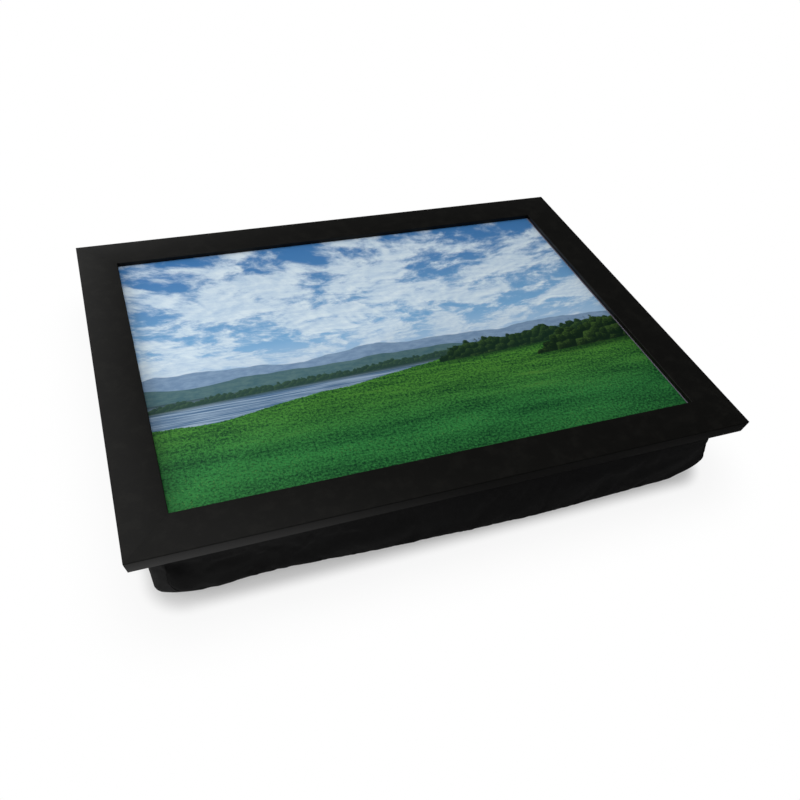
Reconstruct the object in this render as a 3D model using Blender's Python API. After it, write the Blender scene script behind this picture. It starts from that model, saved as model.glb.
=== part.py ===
"""Lap tray: a mitred picture-frame tray that stands on a bead-filled fabric cushion.

The floor is at z = 0 under the middle of the tray. +X runs right along the long side and +Y runs to the
back. The tray lifts off the cushion at four hook-and-loop strips, and a zip closes the back of the cover.
All sizes are in metres.
"""

import math
from dataclasses import dataclass

import bmesh
import bpy
import numpy as np
from mathutils import Matrix

# Driving dimensions
TRAY_WIDTH = 0.440
TRAY_DEPTH = 0.331
TOTAL_HEIGHT = 0.058
EDGE_HEIGHT = 0.011

# Gap between neighbouring solids
GAP = 0.0003

# How far a cutter runs past the face that it opens
OVERRUN = 0.001

# Frame rails, seen in section
RAIL_WIDTH = 0.030
REBATE_WIDTH = 0.006
LIP_HEIGHT = 0.0035
EDGE_BACK_CUT = 0.0018
OUTER_ARRIS = 0.0005
INNER_ARRIS = 0.0003

# Picture package under the lip
FILM_THICKNESS = 0.0004
PRINT_THICKNESS = 0.0004
BOARD_THICKNESS = 0.0030
BOARD_CLEARANCE = 0.0005

# L-shaped steel nails across each mitre
NAIL_LEG = 0.0060
NAIL_THICKNESS = 0.0008
NAIL_HEIGHT = 0.0060
NAIL_OUTER_PLACE = 0.0060
NAIL_INNER_PLACE = 0.0140

# Flat steel points that hold the board in the rebate
POINT_LENGTH = 0.0120
POINT_WIDTH = 0.0080
POINT_THICKNESS = 0.0005
LONG_RAIL_POINT_COUNT = 3
SHORT_RAIL_POINT_COUNT = 2
POINT_SPREAD_SHARE = 0.64

# Hook strips on the board and loop strips on the cushion
STRIP_LENGTH = 0.100
STRIP_WIDTH = 0.025
STRIP_CORNER = 0.003
STRIP_PLACE_X_SHARE = 0.56
STRIP_PLACE_Y_SHARE = 0.62
HOOK_THICKNESS_SHARE = 0.58

# Cushion cover: how far each side lies inside the tray's edge at its fullest
FABRIC_THICKNESS = 0.0010
INSET_LEFT = 0.0115
INSET_RIGHT = 0.0165
INSET_FRONT = 0.0015
INSET_BACK = 0.0080

# Corner seams of the cover: how far they are drawn in, and how far they turn under at the floor
SEAM_INSET_LEFT = 0.0200
SEAM_INSET_RIGHT = 0.0170
SEAM_RISE = 0.0020
SEAM_DEPTH = 0.0100
SEAM_SPREAD = 0.0080
SEAM_ROLL_WIDTH = 0.0200
SEAM_ROLL_HEIGHT = 0.0290
SLACK_ROLL_WIDTH = 0.0480
SLACK_ROLL_HEIGHT = 0.0290
SIDE_ROLL_WIDTH = 0.0070
SIDE_ROLL_HEIGHT = 0.0110
BASE_ROLL_SHARE = 0.85
BASE_CUT = 0.0005
END_ROLL_LENGTH = 0.0420
TOP_DRAW_SHARE = 0.40
FRONT_CROWN_SHARE = 0.22

# Bead filling
FILLING_CLEARANCE = 0.0008

# Zip in the back of the cover
ZIP_LENGTH = 0.260
ZIP_OPENING = 0.0120
ZIP_HEIGHT_SHARE = 0.50
TAPE_THICKNESS = 0.0006
TAPE_OVERLAP = 0.0030
COIL_WIDTH = 0.0022
COIL_DEPTH = 0.0015
COIL_SPACING = 0.0014
STOP_LENGTH = 0.0030

# Zip slider and its pull
SLIDER_LENGTH = 0.0110
SLIDER_WIDTH = 0.0090
SLIDER_PLATE = 0.0010
SLIDER_INNER_WIDTH = 0.0070
SLIDER_WEB_LENGTH = 0.0030
SLIDER_FLANGE = 0.0011
BRIDGE_LENGTH = 0.0070
BRIDGE_THICKNESS = 0.0010
BRIDGE_WIDTH = 0.0020
PULL_LENGTH = 0.0220
PULL_WIDTH = 0.0070
PULL_THICKNESS = 0.0012
PULL_CORNER = 0.0020
PULL_ARM = 0.0012

# Mesh density of the cushion
ROLL_STEP_COUNT = 5
FLAT_STEP_COUNT = 2
ZIP_STEP_COUNT = 8
ROLL_ROW_SHARES = (0.0, 0.12, 0.45, 1.0)
STATION_SHARES = (0.0, 0.02, 0.06, 0.13, 0.25, 0.42, 0.58, 0.75, 0.87, 0.94, 0.98, 1.0)

# Heights that follow from the sizes above
FRAME_UNDERSIDE = TOTAL_HEIGHT - EDGE_HEIGHT
REBATE_CEILING = TOTAL_HEIGHT - LIP_HEIGHT
FILM_TOP = REBATE_CEILING - GAP
PRINT_TOP = FILM_TOP - FILM_THICKNESS - GAP
BOARD_TOP = PRINT_TOP - PRINT_THICKNESS - GAP
BOARD_UNDERSIDE = BOARD_TOP - BOARD_THICKNESS
CUSHION_TOP = FRAME_UNDERSIDE - GAP
SKIN_TOP = CUSHION_TOP - FABRIC_THICKNESS - GAP
STRIP_SPACE = BOARD_UNDERSIDE - CUSHION_TOP - 3 * GAP
HOOK_THICKNESS = STRIP_SPACE * HOOK_THICKNESS_SHARE
LOOP_THICKNESS = STRIP_SPACE - HOOK_THICKNESS
ZIP_HEIGHT = SKIN_TOP * ZIP_HEIGHT_SHARE
ZIP_LOW = ZIP_HEIGHT - ZIP_OPENING / 2
ZIP_HIGH = ZIP_HEIGHT + ZIP_OPENING / 2
BASE_ROLL_HEIGHT = (ZIP_LOW - TAPE_OVERLAP - SEAM_RISE) * BASE_ROLL_SHARE

# Places in plan that follow from the sizes above
HALF_WIDTH = TRAY_WIDTH / 2
HALF_DEPTH = TRAY_DEPTH / 2
REBATE_INSET = RAIL_WIDTH - REBATE_WIDTH
BOARD_HALF_X = HALF_WIDTH - REBATE_INSET - BOARD_CLEARANCE
BOARD_HALF_Y = HALF_DEPTH - REBATE_INSET - BOARD_CLEARANCE
CUSHION_LEFT = INSET_LEFT - HALF_WIDTH
CUSHION_RIGHT = HALF_WIDTH - INSET_RIGHT
CUSHION_FRONT = INSET_FRONT - HALF_DEPTH
CUSHION_BACK = HALF_DEPTH - INSET_BACK
CUSHION_MIDDLE = (CUSHION_LEFT + CUSHION_RIGHT) / 2
ZIP_LEFT = CUSHION_MIDDLE - ZIP_LENGTH / 2
ZIP_RIGHT = CUSHION_MIDDLE + ZIP_LENGTH / 2

# Zip layers, measured outward from the cover's back face
TAPE_OUTER = -FABRIC_THICKNESS - GAP
TAPE_INNER = TAPE_OUTER - TAPE_THICKNESS
COIL_INNER = TAPE_OUTER + GAP
COIL_OUTER = COIL_INNER + COIL_DEPTH
SLIDER_FACE = COIL_OUTER + GAP
SLIDER_TOP = SLIDER_FACE + SLIDER_PLATE
SLIDER_BACK = TAPE_INNER - GAP
PULL_SWING = PULL_THICKNESS / math.sqrt(2)
PULL_AXIS = SLIDER_TOP + GAP + PULL_SWING
BRIDGE_OPENING = 2 * (PULL_SWING + GAP)
FILLING_BACK_INSET = SLIDER_PLATE + FILLING_CLEARANCE - SLIDER_BACK

# Colour, roughness and metallic value of each finish
FINISHES = {
    "black_painted_wood": ((0.012, 0.012, 0.013), 0.42, 0.0),
    "fibreboard": ((0.32, 0.22, 0.13), 0.85, 0.0),
    "printed_paper": ((0.24, 0.38, 0.42), 0.60, 0.0),
    "clear_film": ((0.80, 0.84, 0.86), 0.15, 0.0),
    "steel": ((0.52, 0.52, 0.54), 0.35, 1.0),
    "hook_nylon": ((0.02, 0.02, 0.02), 0.80, 0.0),
    "black_fabric": ((0.008, 0.008, 0.009), 0.90, 0.0),
    "bead_filling": ((0.85, 0.85, 0.83), 0.90, 0.0),
    "zip_tape": ((0.012, 0.012, 0.012), 0.85, 0.0),
    "zip_coil": ((0.015, 0.015, 0.015), 0.45, 0.0),
    "zip_metal": ((0.05, 0.05, 0.052), 0.35, 1.0),
}


@dataclass(frozen=True)
class Outline:
    """Front view of the cushion at one depth: upright sides, rolled lower corners and a level base."""

    left: float
    right: float
    base: float
    top: float
    left_roll: tuple
    right_roll: tuple

    def shrunk(self, side, base):
        """The same outline drawn in at the sides and lifted at the base."""
        rolls = [(width - side, height - side) for width, height in (self.left_roll, self.right_roll)]
        return Outline(self.left + side, self.right - side, self.base + base, self.top, *rolls)


@dataclass(frozen=True)
class Face:
    """The front or back of the cushion: an outline, the depth of its seam and how it bulges from there."""

    outline: Outline
    seam: float
    outward: int
    bulge: float
    crown_share: float


FRONT_SEAM = Outline(SEAM_INSET_LEFT - HALF_WIDTH, HALF_WIDTH - SEAM_INSET_RIGHT, SEAM_RISE, SKIN_TOP,
                     (SEAM_ROLL_WIDTH, SEAM_ROLL_HEIGHT), (SLACK_ROLL_WIDTH, SLACK_ROLL_HEIGHT))
BACK_SEAM = Outline(SEAM_INSET_LEFT - HALF_WIDTH, HALF_WIDTH - SEAM_INSET_RIGHT, SEAM_RISE, SKIN_TOP,
                    (SEAM_ROLL_WIDTH, SEAM_ROLL_HEIGHT), (SEAM_ROLL_WIDTH, SEAM_ROLL_HEIGHT))
MIDDLE = Outline(CUSHION_LEFT, CUSHION_RIGHT, -BASE_CUT, SKIN_TOP,
                 (SIDE_ROLL_WIDTH, SIDE_ROLL_HEIGHT), (SIDE_ROLL_WIDTH, SIDE_ROLL_HEIGHT))
FRONT = Face(FRONT_SEAM, CUSHION_FRONT + SEAM_DEPTH, -1, SEAM_DEPTH, FRONT_CROWN_SHARE)
BACK = Face(BACK_SEAM, CUSHION_BACK - SEAM_DEPTH, 1, SEAM_DEPTH, 0.0)


def clear_scene():
    """Remove every object that the scene starts with."""
    for item in list(bpy.data.objects):
        bpy.data.objects.remove(item)


def make_materials():
    """One plain material for each finish, by name."""
    made = {}
    for name, (colour, roughness, metallic) in FINISHES.items():
        made[name] = bpy.data.materials.new(name)
        made[name].use_nodes = True
        shader = made[name].node_tree.nodes["Principled BSDF"]
        shader.inputs["Base Color"].default_value = (*colour, 1.0)
        shader.inputs["Roughness"].default_value = roughness
        shader.inputs["Metallic"].default_value = metallic
    return made


def make_group(name, place=(0.0, 0.0, 0.0), parent=None):
    """An empty that carries the pieces of one moving group."""
    group = bpy.data.objects.new(name, None)
    group.location = place
    group.parent = parent
    bpy.context.collection.objects.link(group)
    return group


def make_mesh(name, bm):
    """Close a bmesh with its faces pointing out and turn it into a mesh."""
    bmesh.ops.recalc_face_normals(bm, faces=bm.faces)
    mesh = bpy.data.meshes.new(name)
    bm.to_mesh(mesh)
    bm.free()
    return mesh


def place_piece(name, mesh, material, parent=None, place=(0.0, 0.0, 0.0), turn=0.0):
    """Put a mesh in the scene as one named piece, turned about the upright axis."""
    piece = bpy.data.objects.new(name, mesh)
    if not mesh.materials:
        mesh.materials.append(material)
    piece.location = place
    piece.rotation_euler = (0.0, 0.0, turn)
    piece.parent = parent
    bpy.context.collection.objects.link(piece)
    return piece


def add_prism(bm, outline, low, high):
    """Add a closed prism over a plan outline, between two heights."""
    floor = [bm.verts.new((x, y, low)) for x, y in outline]
    face = bm.faces.new(floor)
    grown = bmesh.ops.extrude_face_region(bm, geom=[face])
    raised = [item for item in grown["geom"] if isinstance(item, bmesh.types.BMVert)]
    bmesh.ops.translate(bm, verts=raised, vec=(0.0, 0.0, high - low))


def add_box(bm, lower, upper):
    """Add a closed box between two corners."""
    (x0, y0, z0), (x1, y1, z1) = lower, upper
    add_prism(bm, [(x0, y0), (x1, y0), (x1, y1), (x0, y1)], z0, z1)


def box_mesh(name, lower, upper):
    """A mesh of one closed box."""
    bm = bmesh.new()
    add_box(bm, lower, upper)
    return make_mesh(name, bm)


def prism_mesh(name, outline, low, high):
    """A mesh of one closed prism."""
    bm = bmesh.new()
    add_prism(bm, outline, low, high)
    return make_mesh(name, bm)


def rounded_rectangle(width, depth, radius, steps=4):
    """Plan outline of a rectangle about the origin with round corners."""
    points = []
    for quarter, (side_x, side_y) in enumerate(((1, 1), (-1, 1), (-1, -1), (1, -1))):
        centre = (side_x * (width / 2 - radius), side_y * (depth / 2 - radius))
        for step in range(steps + 1):
            angle = math.pi / 2 * (quarter + step / steps)
            points.append((centre[0] + radius * math.cos(angle), centre[1] + radius * math.sin(angle)))
    return points


def cut(target, cutter):
    """Cut a hidden solid out of a piece."""
    cutter.hide_render = True
    cutter.display_type = "WIRE"
    difference = target.modifiers.new(cutter.name, "BOOLEAN")
    difference.operation = "DIFFERENCE"
    difference.solver = "EXACT"
    difference.object = cutter


def join(target, addition):
    """Fuse a hidden solid to a piece."""
    cut(target, addition)
    target.modifiers[addition.name].operation = "UNION"


# Frame


def rail_profile():
    """Section of a rail: distance in from the tray's outer edge, and height."""
    return [
        (EDGE_BACK_CUT, FRAME_UNDERSIDE),
        (REBATE_INSET, FRAME_UNDERSIDE),
        (REBATE_INSET, REBATE_CEILING),
        (RAIL_WIDTH, REBATE_CEILING),
        (RAIL_WIDTH, TOTAL_HEIGHT - INNER_ARRIS),
        (RAIL_WIDTH - INNER_ARRIS, TOTAL_HEIGHT),
        (OUTER_ARRIS, TOTAL_HEIGHT),
        (0.0, TOTAL_HEIGHT - OUTER_ARRIS),
    ]


def rail_mesh(name, length):
    """A rail along X with its outer edge on the X axis and both ends mitred."""
    pull_back = GAP / math.sqrt(2)
    bm = bmesh.new()
    ends = []
    for side in (-1, 1):
        ends.append([
            bm.verts.new((side * (length / 2 - inset - pull_back), inset, height))
            for inset, height in rail_profile()
        ])
    for end in ends:
        bm.faces.new(end)
    bmesh.ops.bridge_loops(bm, edges=bm.edges[:])
    return make_mesh(name, bm)


def rail_places():
    """Name, length, place of the outer edge's middle, turn and number of retaining points of each rail."""
    return [
        ("front", TRAY_WIDTH, (0.0, -HALF_DEPTH, 0.0), 0.0, LONG_RAIL_POINT_COUNT),
        ("right", TRAY_DEPTH, (HALF_WIDTH, 0.0, 0.0), math.pi / 2, SHORT_RAIL_POINT_COUNT),
        ("back", TRAY_WIDTH, (0.0, HALF_DEPTH, 0.0), math.pi, LONG_RAIL_POINT_COUNT),
        ("left", TRAY_DEPTH, (-HALF_WIDTH, 0.0, 0.0), -math.pi / 2, SHORT_RAIL_POINT_COUNT),
    ]


def along_rail(length, count):
    """Even places of the retaining points along a rail."""
    reach = length / 2 * POINT_SPREAD_SHARE
    return [reach * (2 * index / (count - 1) - 1) for index in range(count)]


def nail_outline(margin):
    """Plan of an L-shaped nail whose outer corner is the origin, grown by a margin."""
    near, far, back = -margin, NAIL_LEG + margin, NAIL_THICKNESS + margin
    return [(near, near), (far, near), (far, back), (back, back), (back, far), (near, far)]


def corner_places():
    """Name, place and turn of each corner of the tray, with the legs of its nails running inward."""
    return [
        ("front_left", (-HALF_WIDTH, -HALF_DEPTH), 0.0),
        ("front_right", (HALF_WIDTH, -HALF_DEPTH), math.pi / 2),
        ("back_right", (HALF_WIDTH, HALF_DEPTH), math.pi),
        ("back_left", (-HALF_WIDTH, HALF_DEPTH), -math.pi / 2),
    ]


def nail_places():
    """Name, place and turn of every corner nail."""
    places = []
    for corner, (corner_x, corner_y), turn in corner_places():
        for row, inset in (("outer", NAIL_OUTER_PLACE), ("inner", NAIL_INNER_PLACE)):
            inward_x = inset * (math.cos(turn) - math.sin(turn))
            inward_y = inset * (math.sin(turn) + math.cos(turn))
            place = (corner_x + inward_x, corner_y + inward_y, 0.0)
            places.append((f"corner_nail_{corner}_{row}", place, turn))
    return places


def make_frame(materials, tray):
    """Four mitred rails with their nails and retaining points."""
    pocket_bm = bmesh.new()
    for _, place, turn in nail_places():
        pocket = bmesh.new()
        add_prism(pocket, nail_outline(GAP), FRAME_UNDERSIDE - OVERRUN, FRAME_UNDERSIDE + NAIL_HEIGHT + GAP)
        spot = Matrix.Translation(place) @ Matrix.Rotation(turn, 4, "Z")
        bmesh.ops.transform(pocket, verts=pocket.verts, matrix=spot)
        pocket_mesh = make_mesh("pocket", pocket)
        pocket_bm.from_mesh(pocket_mesh)
    pockets = place_piece("nail_pockets", make_mesh("nail_pockets", pocket_bm), materials["steel"])

    slot_top = BOARD_UNDERSIDE
    slot_bottom = slot_top - POINT_THICKNESS - 2 * GAP
    half_slot = POINT_WIDTH / 2 + GAP
    point_end = REBATE_INSET - POINT_LENGTH / 2
    slot_end = point_end - GAP
    point_mesh = box_mesh("retaining_point", (-POINT_WIDTH / 2, point_end, slot_bottom + GAP),
                          (POINT_WIDTH / 2, point_end + POINT_LENGTH, slot_top - GAP))
    for side, length, place, turn, count in rail_places():
        rail = place_piece(f"frame_rail_{side}", rail_mesh(f"rail_{side}", length),
                           materials["black_painted_wood"], tray, place, turn)
        slot_bm = bmesh.new()
        for along in along_rail(length, count):
            add_box(slot_bm, (along - half_slot, slot_end, slot_bottom),
                    (along + half_slot, REBATE_INSET + OVERRUN, slot_top))
        slots = place_piece(f"point_slots_{side}", make_mesh("point_slots", slot_bm), materials["steel"],
                            tray, place, turn)
        cut(rail, slots)
        cut(rail, pockets)
        for index, along in enumerate(along_rail(length, count), start=1):
            offset = Matrix.Rotation(turn, 3, "Z") @ Matrix.Translation((along, 0.0, 0.0)).translation
            spot = (place[0] + offset.x, place[1] + offset.y, 0.0)
            place_piece(f"retaining_point_{side}_{index}", point_mesh, materials["steel"], tray, spot, turn)

    nail_mesh = prism_mesh("corner_nail", nail_outline(0.0), FRAME_UNDERSIDE, FRAME_UNDERSIDE + NAIL_HEIGHT)
    for name, place, turn in nail_places():
        place_piece(name, nail_mesh, materials["steel"], tray, place, turn)


def make_picture(materials, tray):
    """Board, print and clear film that lie in the rebate."""
    layers = [
        ("clear_surface_film", FILM_TOP, FILM_THICKNESS, "clear_film"),
        ("picture_print", PRINT_TOP, PRINT_THICKNESS, "printed_paper"),
        ("picture_board", BOARD_TOP, BOARD_THICKNESS, "fibreboard"),
    ]
    for name, top, thickness, finish in layers:
        mesh = box_mesh(name, (-BOARD_HALF_X, -BOARD_HALF_Y, top - thickness),
                        (BOARD_HALF_X, BOARD_HALF_Y, top))
        place_piece(name, mesh, materials[finish], tray)


def make_strips(materials, tray, cushion):
    """Hook strips under the board and loop strips on the cushion's top."""
    outline = rounded_rectangle(STRIP_LENGTH, STRIP_WIDTH, STRIP_CORNER)
    hook_top = BOARD_UNDERSIDE - GAP
    loop_bottom = CUSHION_TOP + GAP
    hook_mesh = prism_mesh("hook_strip", outline, hook_top - HOOK_THICKNESS, hook_top)
    loop_mesh = prism_mesh("loop_strip", outline, loop_bottom, loop_bottom + LOOP_THICKNESS)
    place_x = BOARD_HALF_X * STRIP_PLACE_X_SHARE
    place_y = BOARD_HALF_Y * STRIP_PLACE_Y_SHARE
    for row, side_y in (("front", -1), ("back", 1)):
        for column, side_x in (("left", -1), ("right", 1)):
            place = (side_x * place_x, side_y * place_y, 0.0)
            place_piece(f"hook_strip_{row}_{column}", hook_mesh, materials["hook_nylon"], tray, place)
            place_piece(f"loop_strip_{row}_{column}", loop_mesh, materials["hook_nylon"], cushion, place)


# Cushion surfaces


def quarter_rise(distance, length):
    """Rise of a quarter ellipse: 0 at the seam and 1 from the given length on."""
    left = 1.0 - np.clip(distance / length, 0.0, 1.0)
    return np.sqrt(1.0 - left * left)


def lower_edge(outline):
    """Places across and heights along an outline's lower edge, from left to right."""
    angle = np.linspace(0.0, math.pi / 2, ROLL_STEP_COUNT + 1)
    (left_width, left_height), (right_width, right_height) = outline.left_roll, outline.right_roll
    flat_left, flat_right = outline.left + left_width, outline.right - right_width
    flats = [
        np.linspace(flat_left, ZIP_LEFT, FLAT_STEP_COUNT + 1)[1:],
        np.linspace(ZIP_LEFT, ZIP_RIGHT, ZIP_STEP_COUNT + 1)[1:],
        np.linspace(ZIP_RIGHT, flat_right, FLAT_STEP_COUNT + 1)[1:],
    ]
    across = np.concatenate([outline.left + left_width * (1.0 - np.cos(angle)), *flats,
                             outline.right - right_width * (1.0 - np.sin(angle[1:]))])
    left_z = outline.base + left_height * (1.0 - np.sin(angle))
    right_z = outline.base + right_height * (1.0 - np.cos(angle[1:]))
    middle_z = np.full(sum(len(flat) for flat in flats), outline.base)
    return across, np.concatenate([left_z, middle_z, right_z])


def row_shares():
    """Heights of the rows of a face, as shares of the way from its lower edge to its top."""
    roll = [SEAM_RISE + BASE_ROLL_HEIGHT * share for share in ROLL_ROW_SHARES]
    draw_start = ZIP_HIGH + TAPE_OVERLAP
    heights = np.array([*roll, ZIP_LOW, ZIP_HIGH, draw_start, (draw_start + SKIN_TOP) / 2, SKIN_TOP])
    return (heights - SEAM_RISE) / (SKIN_TOP - SEAM_RISE)


ZIP_LOW_ROW = len(ROLL_ROW_SHARES)
ZIP_HIGH_ROW = ZIP_LOW_ROW + 1
ZIP_LEFT_COLUMN = ROLL_STEP_COUNT + FLAT_STEP_COUNT
ZIP_RIGHT_COLUMN = ZIP_LEFT_COLUMN + ZIP_STEP_COUNT


def face_grid(face, shares, shift=0.0):
    """Points of the cushion's front or back, row by row from its lower edge, moved inward by a shift."""
    across, low = lower_edge(face.outline)
    height = low + shares[:, None] * (face.outline.top - low)
    across = np.broadcast_to(across, height.shape)
    half = (face.outline.right - face.outline.left) / 2
    middle = (face.outline.right + face.outline.left) / 2
    ends = quarter_rise(half - np.abs(across - middle), END_ROLL_LENGTH)
    base = quarter_rise(height - low, BASE_ROLL_HEIGHT)
    crown = 1.0 - face.crown_share * ((across - middle) / half) ** 2
    draw_start = ZIP_HIGH + TAPE_OVERLAP
    draw = np.clip((height - draw_start) / (SKIN_TOP - draw_start), 0.0, 1.0)
    bulge = face.bulge * ends * base * crown * (1.0 - TOP_DRAW_SHARE * draw ** 2)
    depth = face.seam + face.outward * (bulge - shift)
    return np.stack([across, depth, height], axis=-1)


def rim(outline, shares):
    """Points down the left side of an outline, along its lower edge and up its right side."""
    across, low = lower_edge(outline)
    left = low[0] + shares[::-1] * (outline.top - low[0])
    right = low[-1] + shares * (outline.top - low[-1])
    x = np.concatenate([np.full(len(left) - 1, across[0]), across, np.full(len(right) - 1, across[-1])])
    z = np.concatenate([left[:-1], low, right[1:]])
    return np.stack([x, z], axis=-1)


def band_grid(front, back, middle, start, end, shares):
    """Points of the side and base of the cushion, from the front seam to the back seam.

    Each station's rim lies between the nearer seam's outline and the full outline in the middle of the
    cushion, and the rim turns from one to the other over the first stretch, like a quarter ellipse.
    """
    depths = start + (end - start) * np.array(STATION_SHARES)
    middle_depth = (start + end) / 2
    stations = []
    for depth in depths:
        seam = front if depth < middle_depth else back
        fullness = quarter_rise(min(depth - start, end - depth), SEAM_SPREAD)
        points = rim(seam, shares) * (1.0 - fullness) + rim(middle, shares) * fullness
        height = np.maximum(points[:, 1], middle.base + BASE_CUT)
        stations.append(np.stack([points[:, 0], np.full(len(points), depth), height], axis=-1))
    return np.array(stations)


def normals(grid):
    """Unit normals of a grid of points, from the differences of its neighbours."""
    down, along = np.gradient(grid, axis=0), np.gradient(grid, axis=1)
    normal = np.cross(down, along)
    return normal / np.linalg.norm(normal, axis=-1, keepdims=True)


def inward(grid, distance):
    """A grid moved towards the middle of the cushion along its normals."""
    normal = normals(grid)
    centre = np.array([CUSHION_MIDDLE, (CUSHION_FRONT + CUSHION_BACK) / 2, SKIN_TOP])
    towards = np.sum(normal * (centre - grid), axis=-1).mean()
    return grid + normal * distance * (1.0 if towards > 0 else -1.0)


def add_grid(bm, grid):
    """Add a grid of points as quads and return its vertices."""
    verts = [[bm.verts.new(point) for point in row] for row in grid]
    for row, above in zip(verts, verts[1:]):
        for column in range(len(row) - 1):
            bm.faces.new((row[column], row[column + 1], above[column + 1], above[column]))
    return verts


def border(verts):
    """The vertices round a grid, in order."""
    right = [row[-1] for row in verts[1:-1]]
    left = [row[0] for row in verts[1:-1]]
    return verts[0] + right + verts[-1][::-1] + left[::-1]


def fabric_mesh(name, outer, inner):
    """A closed wall of fabric between an outer and an inner grid."""
    bm = bmesh.new()
    outer_ring = border(add_grid(bm, outer))
    inner_ring = border(add_grid(bm, inner))
    for index, vert in enumerate(outer_ring):
        bm.faces.new((outer_ring[index - 1], vert, inner_ring[index], inner_ring[index - 1]))
    return make_mesh(name, bm)


def fabric_panel(name, outer, inner, materials, cushion):
    """A panel of the cover between its outer and its inner grid."""
    inner[..., 2] = np.clip(inner[..., 2], None, SKIN_TOP)
    return place_piece(name, fabric_mesh(name, outer, inner), materials["black_fabric"], cushion)


def make_cover(materials, cushion):
    """The sewn panels of the cushion's cover."""
    shares = row_shares()
    front = face_grid(FRONT, shares)
    fabric_panel("cushion_front_panel", front, inward(front, FABRIC_THICKNESS), materials, cushion)

    tab_margin_share = GAP / (SKIN_TOP - SEAM_RISE - SEAM_ROLL_HEIGHT)
    tab_rows = (shares[ZIP_LOW_ROW] + tab_margin_share, shares[ZIP_HIGH_ROW] - tab_margin_share)
    back = face_grid(BACK, np.insert(shares, ZIP_HIGH_ROW, tab_rows))
    lining = inward(back, FABRIC_THICKNESS)
    pieces = {
        "cushion_back_lower_panel": np.s_[:ZIP_LOW_ROW + 1, :],
        "cushion_back_upper_panel": np.s_[ZIP_HIGH_ROW + 2:, :],
        "zip_end_tab_left": np.s_[ZIP_LOW_ROW + 1:ZIP_HIGH_ROW + 2, :ZIP_LEFT_COLUMN + 1],
        "zip_end_tab_right": np.s_[ZIP_LOW_ROW + 1:ZIP_HIGH_ROW + 2, ZIP_RIGHT_COLUMN:],
    }
    for name, part in pieces.items():
        fabric_panel(name, back[part], lining[part], materials, cushion)

    start = FRONT.seam + FABRIC_THICKNESS + GAP
    end = BACK.seam - FABRIC_THICKNESS - GAP
    band = band_grid(FRONT_SEAM, BACK_SEAM, MIDDLE, start, end, shares)
    inner = inward(band, FABRIC_THICKNESS)
    inner[..., 1] = band[..., 1]
    inner[..., 2] = np.clip(inner[..., 2], FABRIC_THICKNESS, SKIN_TOP)
    fabric = materials["black_fabric"]
    place_piece("cushion_wrap_band", fabric_mesh("cushion_wrap_band", band, inner), fabric, cushion)

    outline = np.concatenate([front[-1, :-1], band[:, -1], back[-1, ::-1][:-1], band[::-1, 0]])
    top = prism_mesh("cushion_top_panel", outline[:, :2], CUSHION_TOP - FABRIC_THICKNESS, CUSHION_TOP)
    place_piece("cushion_top_panel", top, fabric, cushion)


def make_filling(materials, cushion):
    """The bead filling: one closed solid that follows the cover from inside."""
    side = FABRIC_THICKNESS + FILLING_CLEARANCE
    base = FABRIC_THICKNESS + GAP
    shares = row_shares()
    front = Face(FRONT_SEAM.shrunk(side, base), FRONT.seam, FRONT.outward, FRONT.bulge, FRONT.crown_share)
    back = Face(BACK_SEAM.shrunk(side, base), BACK.seam, BACK.outward, BACK.bulge, BACK.crown_share)
    bm = bmesh.new()
    add_grid(bm, face_grid(front, shares, side))
    add_grid(bm, face_grid(back, shares, FILLING_BACK_INSET))
    add_grid(bm, band_grid(front.outline, back.outline, MIDDLE.shrunk(side, base),
                           FRONT.seam + side, BACK.seam - FILLING_BACK_INSET, shares))
    bmesh.ops.remove_doubles(bm, verts=bm.verts, dist=GAP / 100)
    bmesh.ops.holes_fill(bm, edges=[edge for edge in bm.edges if edge.is_boundary], sides=0)
    place_piece("bead_filling", make_mesh("bead_filling", bm), materials["bead_filling"], cushion)


# Zip


def zip_box(name, low_x, high_x, low_y, high_y, low_z, high_z):
    """A box of the zip: along it, outward from the cover's back face, and up from its middle."""
    return box_mesh(name, (low_x, CUSHION_BACK + low_y, ZIP_HEIGHT + low_z),
                    (high_x, CUSHION_BACK + high_y, ZIP_HEIGHT + high_z))


def make_zip(materials, cushion):
    """Tapes, coils and stops of the zip, straight along the flat middle of the cover's back."""
    tape_edge = COIL_SPACING / 2
    tape_end = ZIP_HIGH - ZIP_HEIGHT + TAPE_OVERLAP
    coil_end = tape_edge + COIL_WIDTH
    first = ZIP_LEFT + GAP
    last = ZIP_RIGHT - GAP
    for name, side in (("upper", 1), ("lower", -1)):
        tape_z = sorted((side * tape_edge, side * tape_end))
        coil_z = sorted((side * tape_edge, side * coil_end))
        tape = zip_box(f"zip_tape_{name}", first, last, TAPE_INNER, TAPE_OUTER, *tape_z)
        coil = zip_box(f"zip_coil_{name}", first + STOP_LENGTH + GAP, last - STOP_LENGTH - GAP,
                       COIL_INNER, COIL_OUTER, *coil_z)
        place_piece(f"zip_tape_{name}", tape, materials["zip_tape"], cushion)
        place_piece(f"zip_coil_{name}", coil, materials["zip_coil"], cushion)
    for name, low in (("left", first), ("right", last - STOP_LENGTH)):
        stop = zip_box(f"zip_stop_{name}", low, low + STOP_LENGTH, COIL_INNER, COIL_OUTER,
                       -coil_end, coil_end)
        place_piece(f"zip_stop_{name}", stop, materials["zip_metal"], cushion)


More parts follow.
